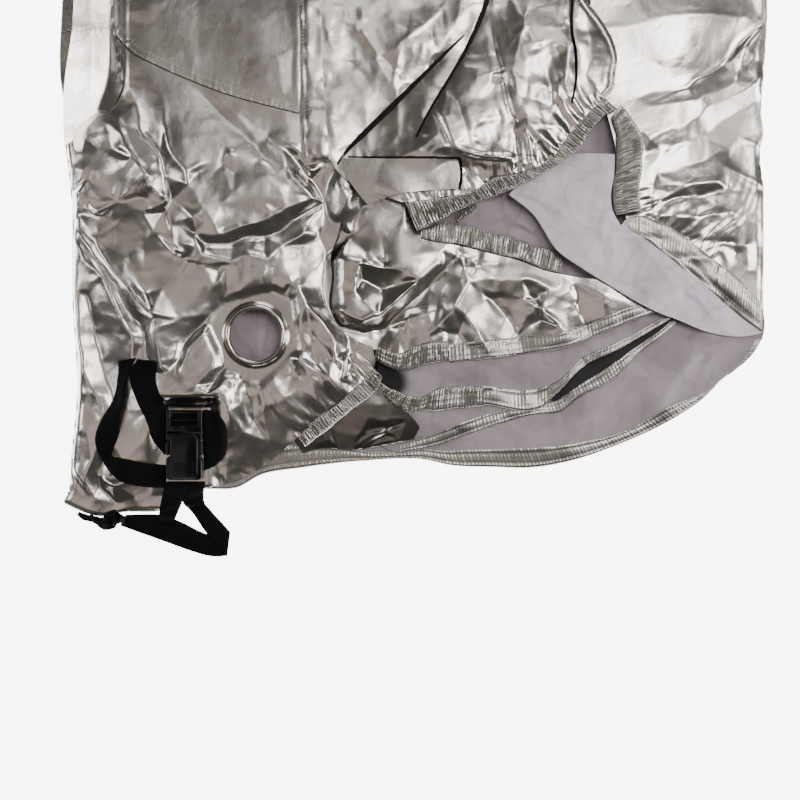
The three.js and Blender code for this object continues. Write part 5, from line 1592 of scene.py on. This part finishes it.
socket_slabs = [
    (about_buckle(18.0, -231.0, -207.0, 4.0), 15.7, 25.6, 1.4),
    (about_buckle(14.0, -209.0, -189.0, 1.5), 15.9, 25.3, 0.8),
    (about_buckle(18.0, -191.5, -183.4, 2.0), 15.7, 25.8, 1.2),
    (about_buckle(13.5, -229.0, -185.2, 5.0), 25.0, 26.7, 0.8),
] + [(about_buckle(10.0, -225.4 + 3.2 * k, -223.8 + 3.2 * k, 0.7), 26.3, 27.3, 0.5) for k in range(4)]
plug_slabs = [
    (about_buckle(18.0, -183.0, -175.6, 1.6), 16.7, 24.7, 1.0),
    (about_buckle(16.5, -165.4, -161.0, 1.9), 17.4, 23.8, 1.0),
    (about_buckle(16.5, -172.6, -169.8, 1.2), 19.4, 24.7, 0.9),
    (rounded(-240.5, -231.5, -179.6, -176.9, 1.2), 24.2, 26.1, 1.1),
    (rounded(-227.5, -219.5, -179.6, -176.9, 1.2), 24.2, 26.1, 1.1),
] + [(outline, 16.7, 24.7, 1.2) for outline in beside_buckle(13.6, 18.0, -178.0, -161.0, 1.9)] + [
    (outline, 17.3, 24.2, 1.0) for outline in beside_buckle(14.4, 18.3, -206.2, -192.0, 1.7)
] + [
    (outline, 18.3, 23.2, 0.5) for k in range(3)
    for outline in beside_buckle(17.8, 19.1, -203.5 + 3.6 * k, -201.9 + 3.6 * k, 0.6)
]
add("buckle_body", moulding("buckle_body", socket_slabs), "buckle_plastic", ["buckle_socket"])
add("buckle_clip", moulding("buckle_clip", plug_slabs), "buckle_plastic", ["buckle_plug"])
add("buckle_webbing", moulding("buckle_webbing", [
    (about_buckle(12.2, -181.5, -162.0, 0.5), 17.5, 19.1, 0.4),
]), "webbing")


# The floor, the lights and the camera
def area_light(name, place, aim, size, radiance, color=(1.0, 1.0, 1.0)):
    light = bpy.data.lights.new(name, "AREA")
    light.shape = "RECTANGLE"
    light.size, light.size_y = size
    light.energy = radiance * math.pi * size[0] * size[1]
    light.color = color
    lamp = bpy.data.objects.new(name, light)
    lamp.location = place
    lamp.rotation_euler = (Vector(aim) - Vector(place)).to_track_quat("-Z", "Y").to_euler()
    bpy.context.scene.collection.objects.link(lamp)


# Half the floor's width, and how far it is under the cloth
FLOOR = 3.0
FLOOR_DROP = 0.0004
floor_mesh = bpy.data.meshes.new("floor")
floor_mesh.from_pydata(
    [(-FLOOR, -FLOOR, 0), (FLOOR, -FLOOR, 0), (FLOOR, FLOOR, 0), (-FLOOR, FLOOR, 0)], [], [(0, 1, 2, 3)],
)
floor = bpy.data.objects.new("floor", floor_mesh)
floor_paint = node_material("floor", (0.88, 0.88, 0.88), 0.0, 0.9)
shader_input(floor_paint, "Emission Color").default_value = (1.0, 1.0, 1.0, 1.0)
shader_input(floor_paint, "Emission Strength").default_value = 7.0
floor_mesh.materials.append(floor_paint)
floor.location = (0, 0, -FLOOR_DROP)
bpy.context.scene.collection.objects.link(floor)

area_light("left_low", (-0.95, -0.7, 2.4), (-0.95, -0.7, 0.0), (1.5, 1.2), 0.66, (1.0, 0.86, 0.77))
area_light("left_near", (-0.95, 0.2, 2.4), (-0.95, 0.2, 0.0), (1.5, 0.6), 0.30, (1.0, 0.85, 0.76))
area_light("left_far", (-0.95, 1.0, 2.4), (-0.95, 1.0, 0.0), (1.5, 1.0), 0.06, (1.0, 0.82, 0.73))
area_light("middle_ceiling", (0.06, 0.86, 2.4), (0.06, 0.86, 0.0), (0.5, 0.88), 1.8, (0.98, 1.0, 0.98))
area_light("right_softbox", (0.68, 0.38, 2.1), (0.3, 0.1, 0.0), (0.5, 0.9), 11.0, (1.0, 0.975, 0.95))
area_light("right_key", (2.0, -0.2, 1.5), (0.0, 0.0, 0.0), (0.8, 0.9), 11.0, (1.0, 0.98, 0.96))
area_light("left_key", (-1.9, 0.15, 1.5), (0.0, 0.0, 0.0), (0.6, 0.8), 4.5)
area_light("far_key", (0.3, 2.1, 1.5), (0.0, 0.0, 0.0), (1.1, 0.6), 6.5)

world = bpy.data.worlds.new("studio")
world.use_nodes = True
world.node_tree.nodes["Background"].inputs["Color"].default_value = (0.052, 0.056, 0.050, 1.0)
world.node_tree.nodes["Background"].inputs["Strength"].default_value = 1.0
bpy.context.scene.world = world

# The photo is 0.8 m wide at the height of the cloth's upper side
CAMERA_PLACE = (-0.014, -0.151, 2.0)
CLOTH_HEIGHT = 0.015
VIEW_WIDTH = 0.8
SENSOR = 36.0
camera_data = bpy.data.cameras.new("camera")
camera_data.sensor_width = SENSOR
camera_data.lens = SENSOR * (CAMERA_PLACE[2] - CLOTH_HEIGHT) / VIEW_WIDTH
camera = bpy.data.objects.new("camera", camera_data)
camera.location = CAMERA_PLACE
bpy.context.scene.collection.objects.link(camera)
bpy.context.scene.camera = camera
